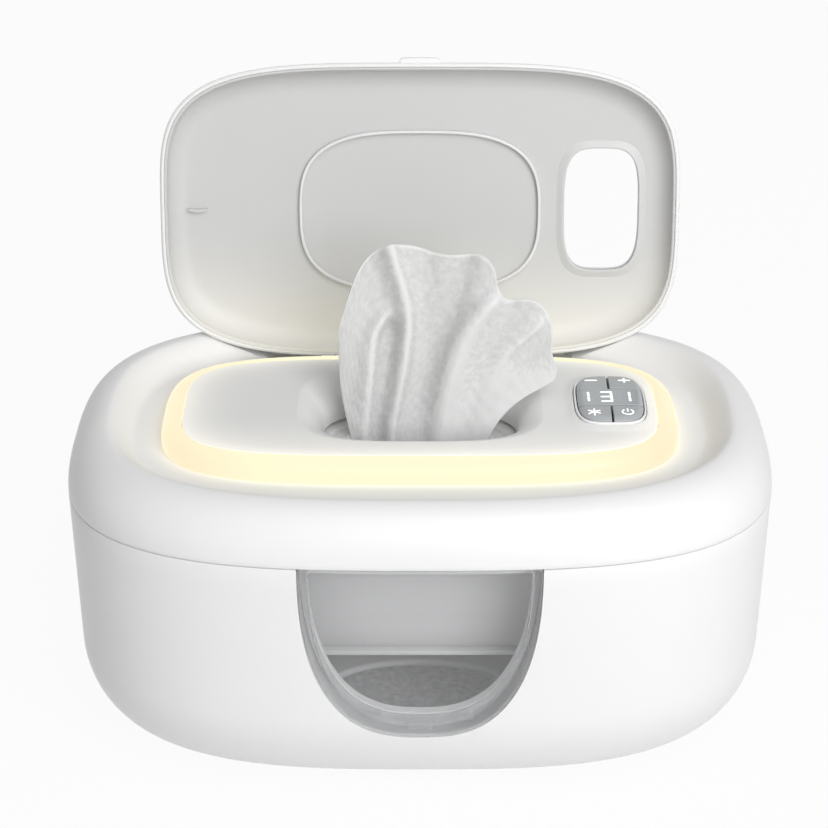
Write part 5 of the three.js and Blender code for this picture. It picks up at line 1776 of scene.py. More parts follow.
@dataclass
class KeyPad:
    """The key pad: bezel, display with three digits, and four keys."""

    x: float = 68.0
    y: float = 0.4
    half_x: float = 12.7
    half_y: float = 19.2
    power: float = 3.6
    key_inset: float = 1.0
    top: float = 121.3
    key_low: float = 118.7
    band: float = 6.7
    groove: float = 0.7
    crown: float = 1.5
    stem_low: float = 115.92
    digit_size: tuple[float, float] = (4.3, 8.6)
    stroke_width: tuple[float, float] = (0.85, 1.0)

    @property
    def keys(self) -> Outline:
        """The outline that holds the keys and the display."""
        return Outline(self.half_x, self.half_y, self.power, self.x, self.y).inset(self.key_inset)

    def surface(self, x: np.ndarray, y: np.ndarray) -> np.ndarray:
        """The pad's top: flat in the middle, and rolled down towards its outline, least at the rear."""
        held = self.keys
        fall = self.crown * (0.7 - 0.3 * np.clip((y - held.y) / held.half_y, -1.0, 1.0))
        return self.top - fall * smoothstep(0.8, 1.06, held.reach(x, y)) ** 1.6

    def region(self, x0: float, x1: float, y0: float, y1: float) -> np.ndarray:
        """The keys' outline clipped to a box, counter-clockwise, with small rounds at its corners."""
        held = self.keys
        t = np.linspace(0.0, 2 * math.pi, 2881)[:-1]
        c, s = np.cos(t), np.sin(t)
        x = held.x + held.half_x * np.sign(c) * np.abs(c) ** (2 / held.power)
        y = held.y + held.half_y * np.sign(s) * np.abs(s) ** (2 / held.power)
        x = np.clip(x, self.x + x0, self.x + x1)
        y = np.clip(y, y0, y1)
        middle_x = held.x + (max(x0, -held.half_x) + min(x1, held.half_x)) / 2
        middle_y = (max(y0, held.y - held.half_y) + min(y1, held.y + held.half_y)) / 2
        middle = np.array([middle_x, middle_y])
        corners = np.stack([x, y], 1)
        length = np.concatenate([[0.0], np.cumsum(np.linalg.norm(np.diff(corners, axis=0), axis=1))])
        even = np.linspace(0.0, length[-1], 133)[:-1]
        points = np.stack([np.interp(even, length, row) for row in corners.T], 1)
        smooth = (np.roll(points, 1, 0) + 2 * points + np.roll(points, -1, 0)) / 4
        keep_inside = middle + (smooth - middle) * 0.999
        return keep_inside

    def cap(self, outline: np.ndarray, low: float) -> Shape:
        """A key's body: upright sides, a small round and a top that follows the pad's surface."""
        middle = outline.mean(0)
        size = np.abs(outline - middle).max()
        edge = ((0.0, None), (0.0, 0.5), (0.04, 0.2), (0.16, 0.05), (0.38, 0.0))
        levels = [(1 - away / size, down) for away, down in edge]
        levels += [(share, 0.0) for share in np.linspace(1 - 0.8 / size, 0.04, 26)]
        loops = np.empty((len(levels), len(outline), 3))
        for k, (share, down) in enumerate(levels):
            flat = middle + (outline - middle) * share
            loops[k, :, :2] = flat
            loops[k, :, 2] = low if down is None else self.surface(flat[:, 0], flat[:, 1]) - down
        return skin(loops)

    def stroke(self, path: np.ndarray, width: float) -> Shape:
        """A raised line along a path, with round ends, draped on the pad.

        Its half width falls to the ends as the root of 1 - (1 - distance / half)^2.
        """
        step = np.gradient(path, axis=0)
        across = np.stack([-step[:, 1], step[:, 0]], 1) / np.linalg.norm(step, axis=1)[:, None]
        run = np.concatenate([[0.0], np.cumsum(np.linalg.norm(np.diff(path, axis=0), axis=1))])
        near_end = np.clip(np.minimum(run, run[-1] - run) / (width / 2), 0.0, 1.0)
        half = width / 2 * np.sqrt(np.clip(1 - (1 - near_end) ** 2, 0.08, 1.0))[:, None]
        sides = (path + across * half, path - across * half)
        rails = [np.column_stack([s, np.full(len(s), z)]) for s in sides for z in (-0.12, 0.07)]
        points = np.concatenate(rails)
        count = len(path)
        faces = []
        for i in range(count - 1):
            j = i + 1
            low, high, far_low, far_high = ((n * count + i, n * count + j) for n in range(4))
            faces += [(*low[::-1], *high), (*far_low, *far_high[::-1])]
            faces += [(*high[::-1], *far_high), (*low, *far_low[::-1])]
        last = count - 1
        faces.append((count, 0, 2 * count, 3 * count))
        faces.append((last, count + last, 3 * count + last, 2 * count + last))
        points[:, 0] += self.x
        points[:, 2] += self.surface(points[:, 0], points[:, 1])
        return Shape(points, faces)

    def bar(self, x: float, y: float, reach: float, width: float, angle: float = 0.0) -> Shape:
        """A straight line through a point, which reaches as far to both sides at an angle in degrees."""
        a = math.radians(angle)
        along = np.sin(np.linspace(-math.pi / 2, math.pi / 2, 15))[:, None] * reach
        return self.stroke(np.array([x, y]) + along * [math.cos(a), math.sin(a)], width)

    def arc(self, x: float, y: float, radius: float, width: float, gap_angle: float) -> Shape:
        """A round line left open at its rear."""
        a = np.radians(np.linspace(90 + gap_angle, 450 - gap_angle, 41))
        return self.stroke(np.stack([x + radius * np.cos(a), y + radius * np.sin(a)], 1), width)

    def digit(self, lit: str, x: float) -> list[Shape]:
        """The lit bars of a digit: t top, m middle, b bottom, r upper right and s lower right."""
        wide, tall = self.digit_size
        thin_x, thin_y = self.stroke_width
        reach = tall / 2 - thin_y / 2
        right = x + wide / 2 - thin_x / 2
        places = {
            "t": (x, reach, wide / 2, thin_y, 0.0),
            "m": (x, 0.0, wide / 2, thin_y, 0.0),
            "b": (x, -reach, wide / 2, thin_y, 0.0),
            "r": (right, reach / 2 + 0.1, reach / 2 - 0.1, thin_x, 90.0),
            "s": (right, -reach / 2 - 0.1, reach / 2 - 0.1, thin_x, 90.0),
        }
        return [self.bar(*places[name]) for name in lit]

    def icon(self, mark: Icon) -> list[Shape]:
        """The shapes of one key's mark."""
        x, y = mark.value
        if mark is Icon.MINUS:
            return [self.bar(x, y, 2.3, 0.8)]
        if mark is Icon.PLUS:
            return [self.bar(x, y, 2.2, 0.8), self.bar(x, y, 1.9, 0.7, 90.0)]
        if mark is Icon.LIGHT:
            return [self.bar(x, y, 2.5, 0.58, angle) for angle in (90.0, 30.0, -30.0)]
        return [self.arc(x, y, 1.95, 0.5, 32.0), self.bar(x, y + 1.4, 1.15, 0.5, 90.0)]

    def build_bezel(self) -> None:
        """The thin frame round the keys, with a rounded rim."""
        pod = Outline(self.half_x, self.half_y, self.power, self.x, self.y)
        low, high = 112.8, 119.95
        corners = [pod.row(low), pod.row(high), pod.inset(0.7).row(high), pod.inset(0.7).row(low)]
        path = rounded([*corners, corners[0], corners[1]], [0.34, 0.3, 0.15, 0.15], 5)[1:-1]
        obj = loft(path, 224, wrap=True).to_object("pad_bezel", 50.0)
        fit(obj, Body.COVER, BEZEL, ["control_bezel"])

    def build_key(self, mark: Icon, name: str) -> None:
        """A key with its stem, and its mark as a child on the same body."""
        sx, sy = (1 if mark.value[0] > 0 else -1), (1 if mark.value[1] > 0 else -1)
        near_y = self.band + self.groove
        x0, x1 = (self.groove / 2, 20.0) if sx > 0 else (-20.0, -self.groove / 2)
        y0, y1 = (near_y, 30.0) if sy > 0 else (-30.0, -near_y)
        stem = rod_z(self.x + sx * 6.0, sy * 11.0, [(1.3, self.stem_low), (1.5, self.stem_low + 0.2),
                                                   (1.5, self.key_low + 0.3)], 32)
        key = self.cap(self.region(x0, x1, y0, y1), self.key_low).join(stem).to_object(f"key_{name}", 50.0)
        fit(key, f"button_{name}", KEYS, [f"button_{name}"])
        parts = self.icon(mark)
        sign = parts[0].join(*parts[1:]).to_object(f"mark_{name}")
        fit(sign, f"button_{name}", MARK)

    def build(self) -> None:
        """Builds the bezel, the display with its digits, and the keys."""
        self.build_bezel()
        window = self.cap(self.region(-20.0, 20.0, -self.band, self.band), self.top - 3.2)
        cover = window.to_object("display_cover", 50.0)
        fit(cover, Body.COVER, DISPLAY, ["display_window"])
        digits = self.digit("rs", -9.4) + self.digit("tmbrs", -1.2) + self.digit("rs", 5.3)
        lit = digits[0].join(*digits[1:]).to_object("lit_digits")
        fit(lit, Body.COVER, MARK)
        for mark in Icon:
            self.build_key(mark, mark.name.lower())


@dataclass
class Lid:
    """The flip lid, worked out shut and then turned open about its hinge."""

    outline: Outline = Outline(97.2, 55.9, 3.9, 0.0, -2.0)
    rim: float = 112.5
    top: float = 124.0
    crown: tuple[float, float] = (9.0, 11.0)
    skirt: float = 1.3
    roof: float = 1.7
    hole: Outline = Outline(14.0, 23.2, 3.6, 68.4, -1.7)
    liner_low: float = 112.6
    liner_face: float = 120.8
    liner_wall: float = 1.0
    fillet: float = 7.5
    inner_round: float = 8.0
    inner_knee: float = 114.0
    seal: Outline = Outline(45.5, 30.8, 3.0, 0.0, -1.06)

    def swung(self, shape: Shape) -> Shape:
        """A shape turned open about the lid's hinge."""
        return shape.turned((0.0, LID_Y, LID_Z), OPEN_ANGLE)

    def shell_rows(self) -> np.ndarray:
        """From the inner roof's middle out, down the skirt's inside, round the bead, over the crown."""
        inner_z = self.top - self.roof
        inside = self.outline.inset(self.skirt)
        rows = [inside.inset(i).row(inner_z) for i in (46.0, 36.0, 26.0, 18.0, 12.0)]
        for t in np.linspace(math.pi / 2, 0.0, 11):
            z = self.inner_knee + (inner_z - self.inner_knee) * math.sin(t)
            rows.append(inside.inset(self.inner_round * (1 - math.cos(t))).row(z))
        rows += [
            *inside.at(
                (0.0, self.rim + 0.9), (0.24, self.rim + 0.4), (0.24, self.rim + 0.02),
                (0.1, self.rim - 0.2), (-0.15, self.rim - 0.33), (-0.45, self.rim - 0.35),
                (-0.7, self.rim - 0.25),
            ),
            *self.outline.at((0.35, self.rim), (0.1, self.rim + 0.2)),
        ]
        inward, rise = self.crown
        for t in np.linspace(0.0, math.pi / 2, 17):
            z = self.top - rise + rise * math.sin(t)
            rows.append(self.outline.inset(inward * (1 - math.cos(t))).row(z))
        rows += [self.outline.inset(i).row(self.top) for i in (14.0, 22.0, 32.0, 42.0, 50.0)]
        return np.array(rows)

    def build_shell(self) -> None:
        """The shell with its hole, its hinge knuckles and the front tab."""
        obj = loft(self.shell_rows(), 384).to_object("lid_moulding", 40.0)
        cuts = [loft(np.array([self.hole.row(100.0), self.hole.row(140.0)]), FINE)]
        for near, far in both_sides(14.2, 37.8):
            cuts.append(rod_x(near, far, LID_Y, LID_Z, 3.0, 0.05, 56))
        carve(obj, cuts, 40.0)
        front = self.outline.y - self.outline.half_y
        tab = Outline(7.5, 1.6, 5.0, 0.0, front - 0.2)
        corners = tab.at((0.6, 113.5), (0.0, 113.5), (0.0, 115.5), (0.9, 115.5))
        extra = [loft(rounded(corners, 0.5, 4), COARSE)]
        a = np.radians(np.linspace(98.0, 2.0, 14))
        arc = np.stack([LID_Y + 2.2 * np.cos(a), LID_Z + 2.2 * np.sin(a)], 1)
        outer = [(57.6, 110.7), (57.6, 115.0), (57.3, 115.7), (56.6, 116.0), (52.8, 116.0), (53.0, 112.7)]
        profile = np.vstack([outer, arc])
        for near, far in both_sides(20.0, 32.0):
            extra.append(sleeve_x(near, far, LID_Y, LID_Z, 2.6, 1.3))
            extra.append(run_x(profile, near, far, 0.2))
        join_into(obj, extra, 40.0)
        self.open_mesh(obj)
        fit(obj, Body.LID, WHITE, ["lid_shell"])

    def open_mesh(self, obj: bpy.types.Object) -> None:
        """Turns an object's mesh open about the lid's hinge."""
        origin = Vector((0.0, LID_Y * MM, LID_Z * MM))
        turn = Matrix.Translation(origin) @ Matrix.Rotation(math.radians(OPEN_ANGLE), 4, "X")
        obj.data.transform(turn @ Matrix.Translation(-origin))
        obj.data.update()

    def build_liner(self) -> None:
        """The pale liner: a flat face that sweeps down to its rim in a soft fillet, and its hole."""
        outer = self.outline.inset(self.skirt + GAP)
        inside = outer.inset(self.liner_wall)
        flat = (46.0, 38.0, 30.0, 22.0, 15.0, 11.0, self.fillet + 0.5)
        rows = [inside.inset(i).row(self.liner_face) for i in flat]
        drop = self.fillet - 0.5
        for t in np.linspace(math.pi / 2, 0.0, 17):
            z = self.liner_face - drop * (1 - math.sin(t))
            rows.append(inside.inset(self.fillet * (1 - math.cos(t))).row(z))
        rows += [
            *inside.at((0.0, self.liner_low + 0.3), (-0.3, self.liner_low)),
            *outer.at((0.1, self.liner_low), (0.0, self.liner_low + 0.1)),
        ]
        roof = self.top - self.roof - GAP
        for t in np.linspace(0.0, math.pi / 2, 11):
            z = self.inner_knee + (roof - self.inner_knee) * math.sin(t)
            rows.append(outer.inset(self.inner_round * (1 - math.cos(t))).row(z))
        rows += [outer.inset(i).row(roof) for i in (14.0, 24.0, 36.0, 46.0)]
        obj = loft(np.array(rows), 384).to_object("liner_moulding", 40.0)
        # Painted warm glow that stands in for the ring's spill light on the liner, growing towards the
        # hinge.
        painted_glow_y = np.array([v.co.y for v in obj.data.vertices], np.float32) / MM
        mark_points(obj.data, "painted_glow", smoothstep(0.0, 52.0, painted_glow_y) ** 1.5)
        carve(obj, [loft(np.array([self.hole.row(100.0), self.hole.row(140.0)]), FINE)], 40.0)
        join_into(obj, [self.tongue_shape()], 40.0)
        self.open_mesh(obj)
        fit(obj, Body.LID, LINER, ["lid_liner"])

    def tongue_shape(self) -> Shape:
        """A thin curved tongue that stands off the liner, its ends a little nearer the lid's front edge."""
        x, y, half = -83.9, 0.3, 3.6
        along = np.linspace(-1.0, 1.0, 25)
        front = np.stack([x + half * along, y - 2.3 - 0.2 * along**2], 1)
        back = np.stack([x + half * along, y - 1.1 - 0.75 * along**2], 1)
        outline = np.vstack([front, back[::-1]])
        low = self.liner_face - 2.2
        shape = plate(outline, self.liner_face + 0.4 - 2.1, self.liner_face + 0.4)
        shape.points[:, 2] = np.where(shape.points[:, 2] < self.liner_face, low, shape.points[:, 2])
        return shape

    def build_collar(self) -> None:
        """A low soft mound round the liner's hole."""
        rows = [
            *self.hole.at((-3.2, 121.6), (-3.2, 120.9), (-2.0, 120.45), (-1.0, 120.0)),
            *self.hole.at((-0.3, 119.85), (0.0, 120.2), (0.0, 121.6)),
        ]
        path = rounded([*rows, rows[0], rows[1]], [0.1, 0.3, 0.3, 0.2, 0.15, 0.1, 0.1], 3)[1:-1]
        obj = self.swung(loft(path, 256, wrap=True)).to_object("liner_hole_collar", 50.0)
        # A lighter copy of the liner's grey: painted light on the raised collar.
        fit(obj, Body.LID, LINER_RIM)

    def build_seal(self) -> None:
        """The rib that closes on the deck round the funnel: a narrow rounded band."""
        seal = self.seal
        low, high = 118.55, 120.5
        corners = [seal.row(low), seal.row(high), seal.inset(1.1).row(high), seal.inset(1.1).row(low)]
        path = rounded([*corners, corners[0], corners[1]], [0.1, 0.1, 0.4, 0.5], 5)[1:-1]
        obj = self.swung(loft(path, 288, wrap=True)).to_object("lid_seal_rib", 50.0)
        fit(obj, Body.LID, LID_SILICONE, ["lid_seal"])

    def build(self) -> None:
        """Builds the lid's four pieces."""
        self.build_shell()
        self.build_liner()
        self.build_collar()
        self.build_seal()


@dataclass(frozen=True)
class Fold:
    """A crease in the wipe: the points of its crest, how far it stands out and how wide it is."""

    crest: Points
    height: float
    left: float
    right: float
    low: float = 95.0
    high: float = 185.0

    def lift(self, x: np.ndarray, z: np.ndarray) -> np.ndarray:
        """How far it stands out: height * exp(-(distance / width)^2), with a width for each side."""
        points = np.array(sorted(self.crest, key=lambda p: p[1]))
        steps = np.linspace(points[0, 1], points[-1, 1], 240)
        reach = (points[-1, 1] - points[0, 1]) / 14
        near = np.exp(-(((steps[:, None] - steps[None, :]) / reach) ** 2))
        line = near @ np.interp(steps, points[:, 1], points[:, 0]) / near.sum(1)
        crest_x = np.interp(z, steps, line)
        away = x - crest_x
        width = np.where(away < 0, self.left, self.right)
        fade = smoothstep(self.low - 6, self.low, z) * (1 - smoothstep(self.high, self.high + 8, z))
        return self.height * np.exp(-((away / width) ** 2)) * fade


@dataclass
class Wipe:
    """The wipe drawn up out of the slot: pinched at its foot, fanned out and creased above."""

    thickness: float = 0.5
    columns: int = 210
    rows: int = 150
    foot_z: float = 99.45
    left: Points = ((-23.5, 99.45), (-26.2, 112.0), (-28.3, 125.0), (-29.0, 139.0))
    right: Points = (
        (23.5, 99.45), (24.6, 104.6), (27.9, 110.9), (32.1, 116.0),
        (37.4, 120.3), (43.4, 124.2), (48.4, 127.6),
    )
    top: Points = (
        (-29.0, 139.0), (-28.6, 148.0), (-26.8, 155.0), (-24.0, 164.5), (-20.1, 173.2), (-16.2, 177.4),
        (-10.9, 179.7), (-4.9, 180.0), (0.7, 178.9), (5.3, 177.2), (9.9, 176.3), (15.5, 176.5),
        (20.5, 176.6), (23.8, 174.6), (26.1, 171.4), (27.2, 166.4), (27.9, 162.4), (29.6, 159.9),
        (33.9, 159.1), (38.5, 159.4), (42.4, 157.7), (45.6, 153.3), (47.1, 147.7), (47.3, 139.0),
        (49.3, 131.0), (48.4, 127.6),
    )
    folds: tuple[Fold, ...] = (
        Fold(((-10.8, 180.0), (-6.6, 167.0), (-3.9, 156.0), (-3.9, 146.0), (-5.7, 132.0), (-11.2, 104.0)),
             5.2, 5.0, 1.7),
        Fold(((-9.8, 157.0), (-16.2, 145.7), (-17.4, 130.6), (-19.8, 105.0)), 3.4, 4.2, 1.5, 96.0, 150.0),
        Fold(((28.1, 159.5), (20.8, 151.5), (15.2, 141.5), (12.5, 133.3), (8.6, 118.0), (6.0, 100.0)),
             5.4, 6.5, 3.4, 90.0, 156.0),
        Fold(((45.8, 150.3), (37.9, 144.6), (30.0, 138.0), (22.0, 118.0), (18.0, 100.0)),
             1.5, 5.0, 2.2, 96.0, 148.0),
        Fold(((1.5, 178.0), (2.0, 160.0), (1.5, 140.0), (-1.0, 120.0), (-3.0, 100.0)), -2.6, 3.4, 5.5),
        Fold(((18.0, 176.0), (13.5, 160.0), (9.0, 146.0), (4.0, 125.0), (1.0, 100.0)), -2.4, 6.0, 3.6),
        Fold(((-9.0, 156.0), (-11.0, 140.0), (-12.0, 125.0), (-15.5, 104.0)), -3.4, 3.2, 4.2, 96.0, 146.0),
        Fold(((33.0, 158.0), (27.0, 143.0), (19.0, 122.0), (13.0, 100.0)), -1.6, 3.6, 4.0),
    )

    @staticmethod
    def along(points: Sequence[tuple[float, float]], share: np.ndarray) -> np.ndarray:
        """A smooth curve through points at even lengths: cubics whose slopes are centred differences."""
        p = np.asarray(points, float)
        knots = np.concatenate([[0.0], np.cumsum(np.linalg.norm(np.diff(p, axis=0), axis=1))])
        slope = np.gradient(p, knots, axis=0)
        at = share * knots[-1]
        k = np.clip(np.searchsorted(knots, at, side="right") - 1, 0, len(knots) - 2)
        h = (knots[k + 1] - knots[k])[:, None]
        t = ((at - knots[k]) / h[:, 0])[:, None]
        return (
            p[k] * (2 * t**3 - 3 * t**2 + 1)
            + slope[k] * h * (t**3 - 2 * t**2 + t)
            + p[k + 1] * (-2 * t**3 + 3 * t**2)
            + slope[k + 1] * h * (t**3 - t**2)
        )

    def middle_surface(self) -> tuple[np.ndarray, np.ndarray, np.ndarray]:
        """The sheet's middle as a grid of points, with its two parameters.

        The outline seen from the front is filled by a blend of its four edges. Creases move it in Y, and
        each point drops by 0.45 of that move, so that the outline stays where it was seen.
        """
        u = np.linspace(0.0, 1.0, self.columns)
        v = np.linspace(0.0, 1.0, self.rows)
        foot = np.stack([np.linspace(-23.5, 23.5, self.columns), np.full(self.columns, self.foot_z)], 1)
        top = self.along(self.top, u)
        left, right = self.along(self.left, v), self.along(self.right, v)
        uu, vv = u[None, :, None], v[:, None, None]
        flat = (1 - vv) * foot[None] + vv * top[None] + (1 - uu) * left[:, None] + uu * right[:, None]
        low = (1 - uu) * foot[0] + uu * foot[-1]
        high = (1 - uu) * top[0] + uu * top[-1]
        flat -= (1 - vv) * low + vv * high
        x, z = flat[..., 0], flat[..., 1]
        out = sum(fold.lift(x, z) for fold in self.folds)
        broad = 1.6 * np.sin(2 * math.pi * (1.6 * u[None, :] + 0.12)) * smoothstep(110.0, 150.0, z)
        fine = 0.12 * np.sin(x * 0.9 + 1.7 * np.sin(z * 0.21)) * np.sin(z * 0.55 + 1.1 * np.sin(x * 0.33))
        rise = smoothstep(100.0, 182.0, z)
        gather = 1 - smoothstep(99.0, 124.0, z)
        pleats = 1.0 * np.sin(2 * math.pi * 3.1 * u[None, :] + 0.4) * gather
        pinch = np.sin(math.pi * np.clip(u, 0.0, 1.0))[None, :] ** (0.8 * gather)
        curl = 3.0 * smoothstep(0.86, 1.0, u)[None, :] * smoothstep(0.2, 0.8, v)[:, None]
        y = (-(out + broad) * (0.55 + 0.45 * rise) - pleats) * pinch + fine + 6.5 * rise**1.2 + curl
        limit = 3.6 + 4.0 * smoothstep(108.0, 124.0, z)
        y = np.where(y < 0, -limit * np.tanh(-y / limit), y)
        upper = 3.6 + 10.0 * smoothstep(106.0, 130.0, z)
        y = np.where(y > 0, upper * np.tanh(y / upper), y)
        drop = 0.45 * y * smoothstep(99.45, 135.0, z)
        points = np.stack([x * (1 - 0.0010 * y), y, np.minimum(z - drop, 180.0)], 2)
        return points, u, v

    def paint_cloth_light(self, x: np.ndarray, z: np.ndarray, u: np.ndarray, v: np.ndarray) -> np.ndarray:
        """Painted light and shade on the cloth: painted highlights along creases and cut edges, and painted
        light low on the right.

        A crease adds exp(-(distance / width)^2), the hollow between the first two creases takes some
        away, and the rest is 0.4.
        """
        light = np.full(x.shape, 0.4)
        for fold, width, share in zip(self.folds, (1.6, 1.3, 2.2, 0.9), (0.3, 0.26, 0.3, 0.1)):
            narrow = Fold(fold.crest, share, width, width * 0.8, fold.low, fold.high)
            light += narrow.lift(x, z)
        for fold, share in ((self.folds[2], 0.22), (self.folds[3], 0.1)):
            light += Fold(fold.crest, share, 4.0, 5.0, fold.low, fold.high).lift(x, z)
        # Painted shade in the hollows.
        hollow = self.folds[6]
        light -= Fold(hollow.crest, 0.2, 3.4, 4.2, 88.0, 150.0).lift(x, z)
        light -= Fold(self.folds[5].crest, 0.1, 4.0, 4.0, 120.0, 178.0).lift(x, z)
        # Painted light low on the right, and painted highlights along the cut edges.
        low_right = smoothstep(0.55, 1.0, u)[None, :] * (1 - smoothstep(118.0, 142.0, z))
        edge = np.maximum(smoothstep(0.982, 0.998, v)[:, None], smoothstep(0.985, 0.998, u)[None, :])
        return np.clip(light + 0.45 * low_right + 0.4 * edge, 0.0, 1.0)

    def shape(self) -> tuple[Shape, np.ndarray, np.ndarray, float]:
        """Both faces of the sheet, a half thickness off its middle, closed round its edge.

        Returns:
            The closed shape, its map of U and V in metres, each point's painted light and one face's area.
        """
        middle, u, v = self.middle_surface()
        across = np.gradient(middle, axis=1)
        up = np.gradient(middle, axis=0)
        normal = np.cross(across, up)
        normal /= np.linalg.norm(normal, axis=2)[..., None]
        front = middle + normal * self.thickness / 2
        back = middle - normal * self.thickness / 2
        rows, columns = self.rows, self.columns
        a = grid_faces(rows, columns, False, False)
        b = a[:, ::-1] + rows * columns
        index = np.arange(rows * columns).reshape(rows, columns)
        ring = np.concatenate([index[0, :-1], index[:-1, -1], index[-1, :0:-1], index[:0:-1, 0]])
        on = np.roll(ring, -1)
        edge = np.stack([ring + rows * columns, on + rows * columns, on, ring], 1)
        faces = [tuple(q) for q in np.concatenate([a, b, edge]).tolist()]
        points = np.concatenate([front.reshape(-1, 3), back.reshape(-1, 3)])
        wide = np.linalg.norm(np.diff(middle, axis=1), axis=2).sum(1).mean()
        tall = np.linalg.norm(np.diff(middle, axis=0), axis=2).sum(0).mean()
        uu, vv = np.meshgrid(u * wide * MM, v * tall * MM)
        one = np.stack([uu.ravel(), vv.ravel()], 1)
        quads = np.cross(middle[:-1, 1:] - middle[:-1, :-1], middle[1:, :-1] - middle[:-1, :-1])
        area = float(np.linalg.norm(quads, axis=2).sum()) * MM * MM
        log.info("wipe: mean width %.1f mm, mean length %.1f mm, area %.5f m2", wide, tall, area)
        # Each point's painted light and shade.
        thin = self.paint_cloth_light(middle[..., 0], middle[..., 2] + 0.45 * middle[..., 1], u, v).ravel()
        return Shape(points, faces), np.concatenate([one, one]), np.concatenate([thin, thin]), area

    def build(self) -> None:
        """Builds the wipe and maps it."""
        shape, mapped, thin, area = self.shape()
        obj = shape.to_object("drawn_wipe", 75.0)
        mesh = obj.data
        layer = mesh.uv_layers.new(name="cloth")
        corner = np.empty(len(mesh.loops), np.int32)
        mesh.loops.foreach_get("vertex_index", corner)
        layer.data.foreach_set("uv", mapped[corner].astype(np.float32).ravel())
        # The attribute carries the painted light and shade for the cloth's finish.
        mark_points(mesh, "thin", thin)
        fit(obj, Body.COVER, CLOTH, ["wipe_sheet"])
        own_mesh(obj)


# What stays as the frame has it

KEPT: dict[str, Finish] = {
    "heater_plate": PLATE_METAL,
    "heater_film": FILM,
    "thermal_fuse": STEEL,
    "temperature_sensor": BLACK,
    "main_board": BOARD,
    "cover_hinge_pin_left": STEEL,
    "cover_hinge_pin_right": STEEL,
    "lid_hinge_pin_left": STEEL,
    "lid_hinge_pin_right": STEEL,
    "led_board": LAMP_BOARD,
    "display_module": BLACK,
    "control_board": BOARD,
    "tact_switch_minus": BLACK,
    "tact_switch_plus": BLACK,
    "tact_switch_light": BLACK,
    "tact_switch_power": BLACK,
}


# Stage


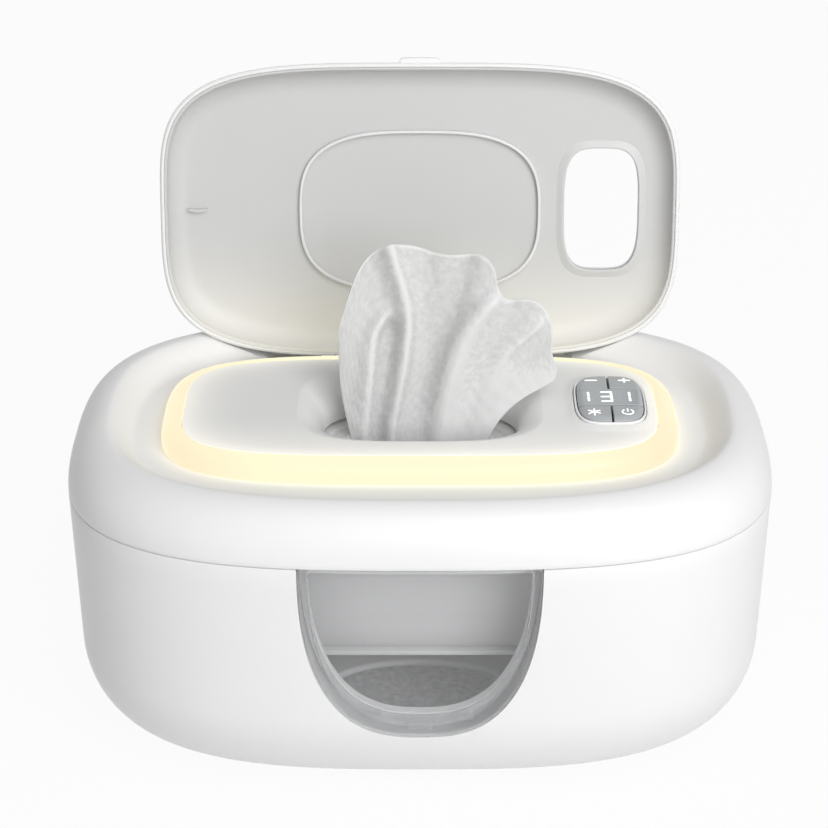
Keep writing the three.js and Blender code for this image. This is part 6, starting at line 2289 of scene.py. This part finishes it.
@dataclass
class Studio:
    """The floor, the lights and the camera."""

    distance: float = 0.898
    elevation: float = 25.55
    target_z: float = 0.1144
    lens: float = 108.7
    shift_x: float = -6.0 / 828.0
    room: float = 0.55

    def build_camera(self) -> None:
        """A camera straight in front, looking down at the photograph's angle."""
        data = bpy.data.cameras.new("camera")
        data.lens = self.lens
        data.sensor_width = 36.0
        data.shift_x = self.shift_x
        camera = bpy.data.objects.new("camera", data)
        angle = math.radians(self.elevation)
        height = self.target_z + self.distance * math.sin(angle)
        camera.location = (0.0, -self.distance * math.cos(angle), height)
        camera.rotation_euler = (math.pi / 2 - angle, 0.0, 0.0)
        bpy.context.scene.collection.objects.link(camera)
        bpy.context.scene.camera = camera

    def build_floor(self) -> None:
        """A wide pale floor: for the eye mostly plain white, with part of the object's shadow."""
        n = 24
        side = np.linspace(-3.0, 3.0, n)
        xx, yy = np.meshgrid(side, side)
        points = np.stack([xx.ravel(), yy.ravel(), np.full(n * n, -0.0002)], 1)
        mesh = bpy.data.meshes.new("floor")
        mesh.from_pydata(points.tolist(), [], grid_faces(n, n, False, False).tolist())
        floor = bpy.data.objects.new("floor", mesh)
        bpy.context.scene.collection.objects.link(floor)
        desk = Desk("floor_paint")
        cloud = desk.noise(desk.place(), 3.0, 1.0)
        desk.link(desk.ramp(cloud, [(0.3, (0.79, 0.79, 0.79)), (0.7, (0.81, 0.81, 0.81))]),
                  desk.shader.inputs["Base Color"])
        desk.set(Roughness=0.9, Specular_IOR_Level=0.1)
        tree = desk.tree
        glow = add_node(tree, "Emission", Strength=1.0)
        mix = tree.nodes.new("ShaderNodeMixShader")
        path = tree.nodes.new("ShaderNodeLightPath")
        seen = desk.math("MAXIMUM", path.outputs["Is Camera Ray"], path.outputs["Is Glossy Ray"])
        seen = desk.math("MAXIMUM", seen, path.outputs["Is Transmission Ray"])
        desk.link(desk.math("MULTIPLY", seen, 0.94), mix.inputs[0])
        desk.link(desk.shader.outputs[0], mix.inputs[1])
        desk.link(glow.outputs[0], mix.inputs[2])
        desk.link(mix.outputs[0], desk.output.inputs["Surface"])
        mesh.materials.append(desk.material)

    def build_world(self) -> None:
        """Even pale light for surfaces, and white where the eye, a reflection or clear plastic sees it."""
        world = bpy.data.worlds.new("studio")
        bpy.context.scene.world = world
        world.use_nodes = True
        tree = world.node_tree
        tree.nodes.clear()
        output = tree.nodes.new("ShaderNodeOutputWorld")
        white = (1.0, 1.0, 1.0, 1.0)
        light = add_node(tree, "Background", Color=white, Strength=self.room)
        self.shade_sides(tree, light)
        plain = add_node(tree, "Background", Color=white, Strength=1.0)
        mix = tree.nodes.new("ShaderNodeMixShader")
        ray = tree.nodes.new("ShaderNodeLightPath")
        seen = ray.outputs["Is Camera Ray"]
        for other in ("Is Glossy Ray", "Is Transmission Ray"):
            either = tree.nodes.new("ShaderNodeMath")
            either.operation = "MAXIMUM"
            tree.links.new(seen, either.inputs[0])
            tree.links.new(ray.outputs[other], either.inputs[1])
            seen = either.outputs[0]
        tree.links.new(seen, mix.inputs[0])
        tree.links.new(light.outputs[0], mix.inputs[1])
        tree.links.new(plain.outputs[0], mix.inputs[2])
        tree.links.new(mix.outputs[0], output.inputs["Surface"])

    @staticmethod
    def shade_sides(tree: bpy.types.NodeTree, light: bpy.types.Node) -> None:
        """Makes the room's light weaker from the sides, most from the left, and from behind."""
        coordinate = tree.nodes.new("ShaderNodeTexCoord")
        parts = tree.nodes.new("ShaderNodeSeparateXYZ")
        across = add_node(tree, "MapRange", From_Min=-1.0)
        ramp = tree.nodes.new("ShaderNodeValToRGB")
        elements = ramp.color_ramp.elements
        elements.new(0.5)
        for element, (at, shade) in zip(elements, ((0.0, 0.4), (0.5, 1.0), (1.0, 0.85))):
            element.position = at
            element.color = (shade, shade, shade, 1.0)
        behind = add_node(tree, "MapRange", From_Min=-0.6, From_Max=0.6, To_Min=1.12, To_Max=0.62)
        both = tree.nodes.new("ShaderNodeVectorMath")
        both.operation = "SCALE"
        for start, end in (
            (coordinate.outputs["Generated"], parts.inputs[0]),
            (parts.outputs["X"], across.inputs["Value"]),
            (across.outputs["Result"], ramp.inputs["Fac"]),
            (parts.outputs["Y"], behind.inputs["Value"]),
            (ramp.outputs["Color"], both.inputs[0]),
            (behind.outputs["Result"], both.inputs["Scale"]),
            (both.outputs[0], light.inputs["Color"]),
        ):
            tree.links.new(start, end)

    def build_lamp(self, name: str, place: tuple[float, float, float], size: float, power: float) -> None:
        """A square soft lamp that faces the object."""
        data = bpy.data.lights.new(name, "AREA")
        data.shape = "SQUARE"
        data.size = size
        data.energy = power
        lamp = bpy.data.objects.new(name, data)
        lamp.location = place
        toward = Vector((0.0, 0.0, 0.1)) - Vector(place)
        lamp.rotation_euler = toward.to_track_quat("-Z", "Y").to_euler()
        bpy.context.scene.collection.objects.link(lamp)

    def build(self) -> None:
        """Builds the camera, the floor, the world and the lamps."""
        self.build_camera()
        self.build_floor()
        self.build_world()
        self.build_lamp("key_lamp", (0.6, -1.35, 0.85), 0.9, 14.0)
        self.build_lamp("near_lamp", (0.22, -0.45, 0.8), 0.4, 1.5)


def main() -> None:
    """Builds the warmer piece by piece on its frame."""
    logging.basicConfig(level=logging.INFO, format="%(name)s: %(message)s")
    bpy.context.scene.view_settings.view_transform = "Standard"
    Studio().build()
    for assembly in (
        Bowl(),
        Underside(),
        InnerTank(),
        FrontWindow(),
        RearInlet(),
        LiftAndPack(),
        CoverShell(),
        Deck(),
        CoverInside(),
        KeyPad(),
        Lid(),
        Wipe(),
    ):
        log.info("building %s", type(assembly).__name__)
        assembly.build()
    for node, finish in KEPT.items():
        dress(node, finish)


if __name__ == "__main__":
    main()
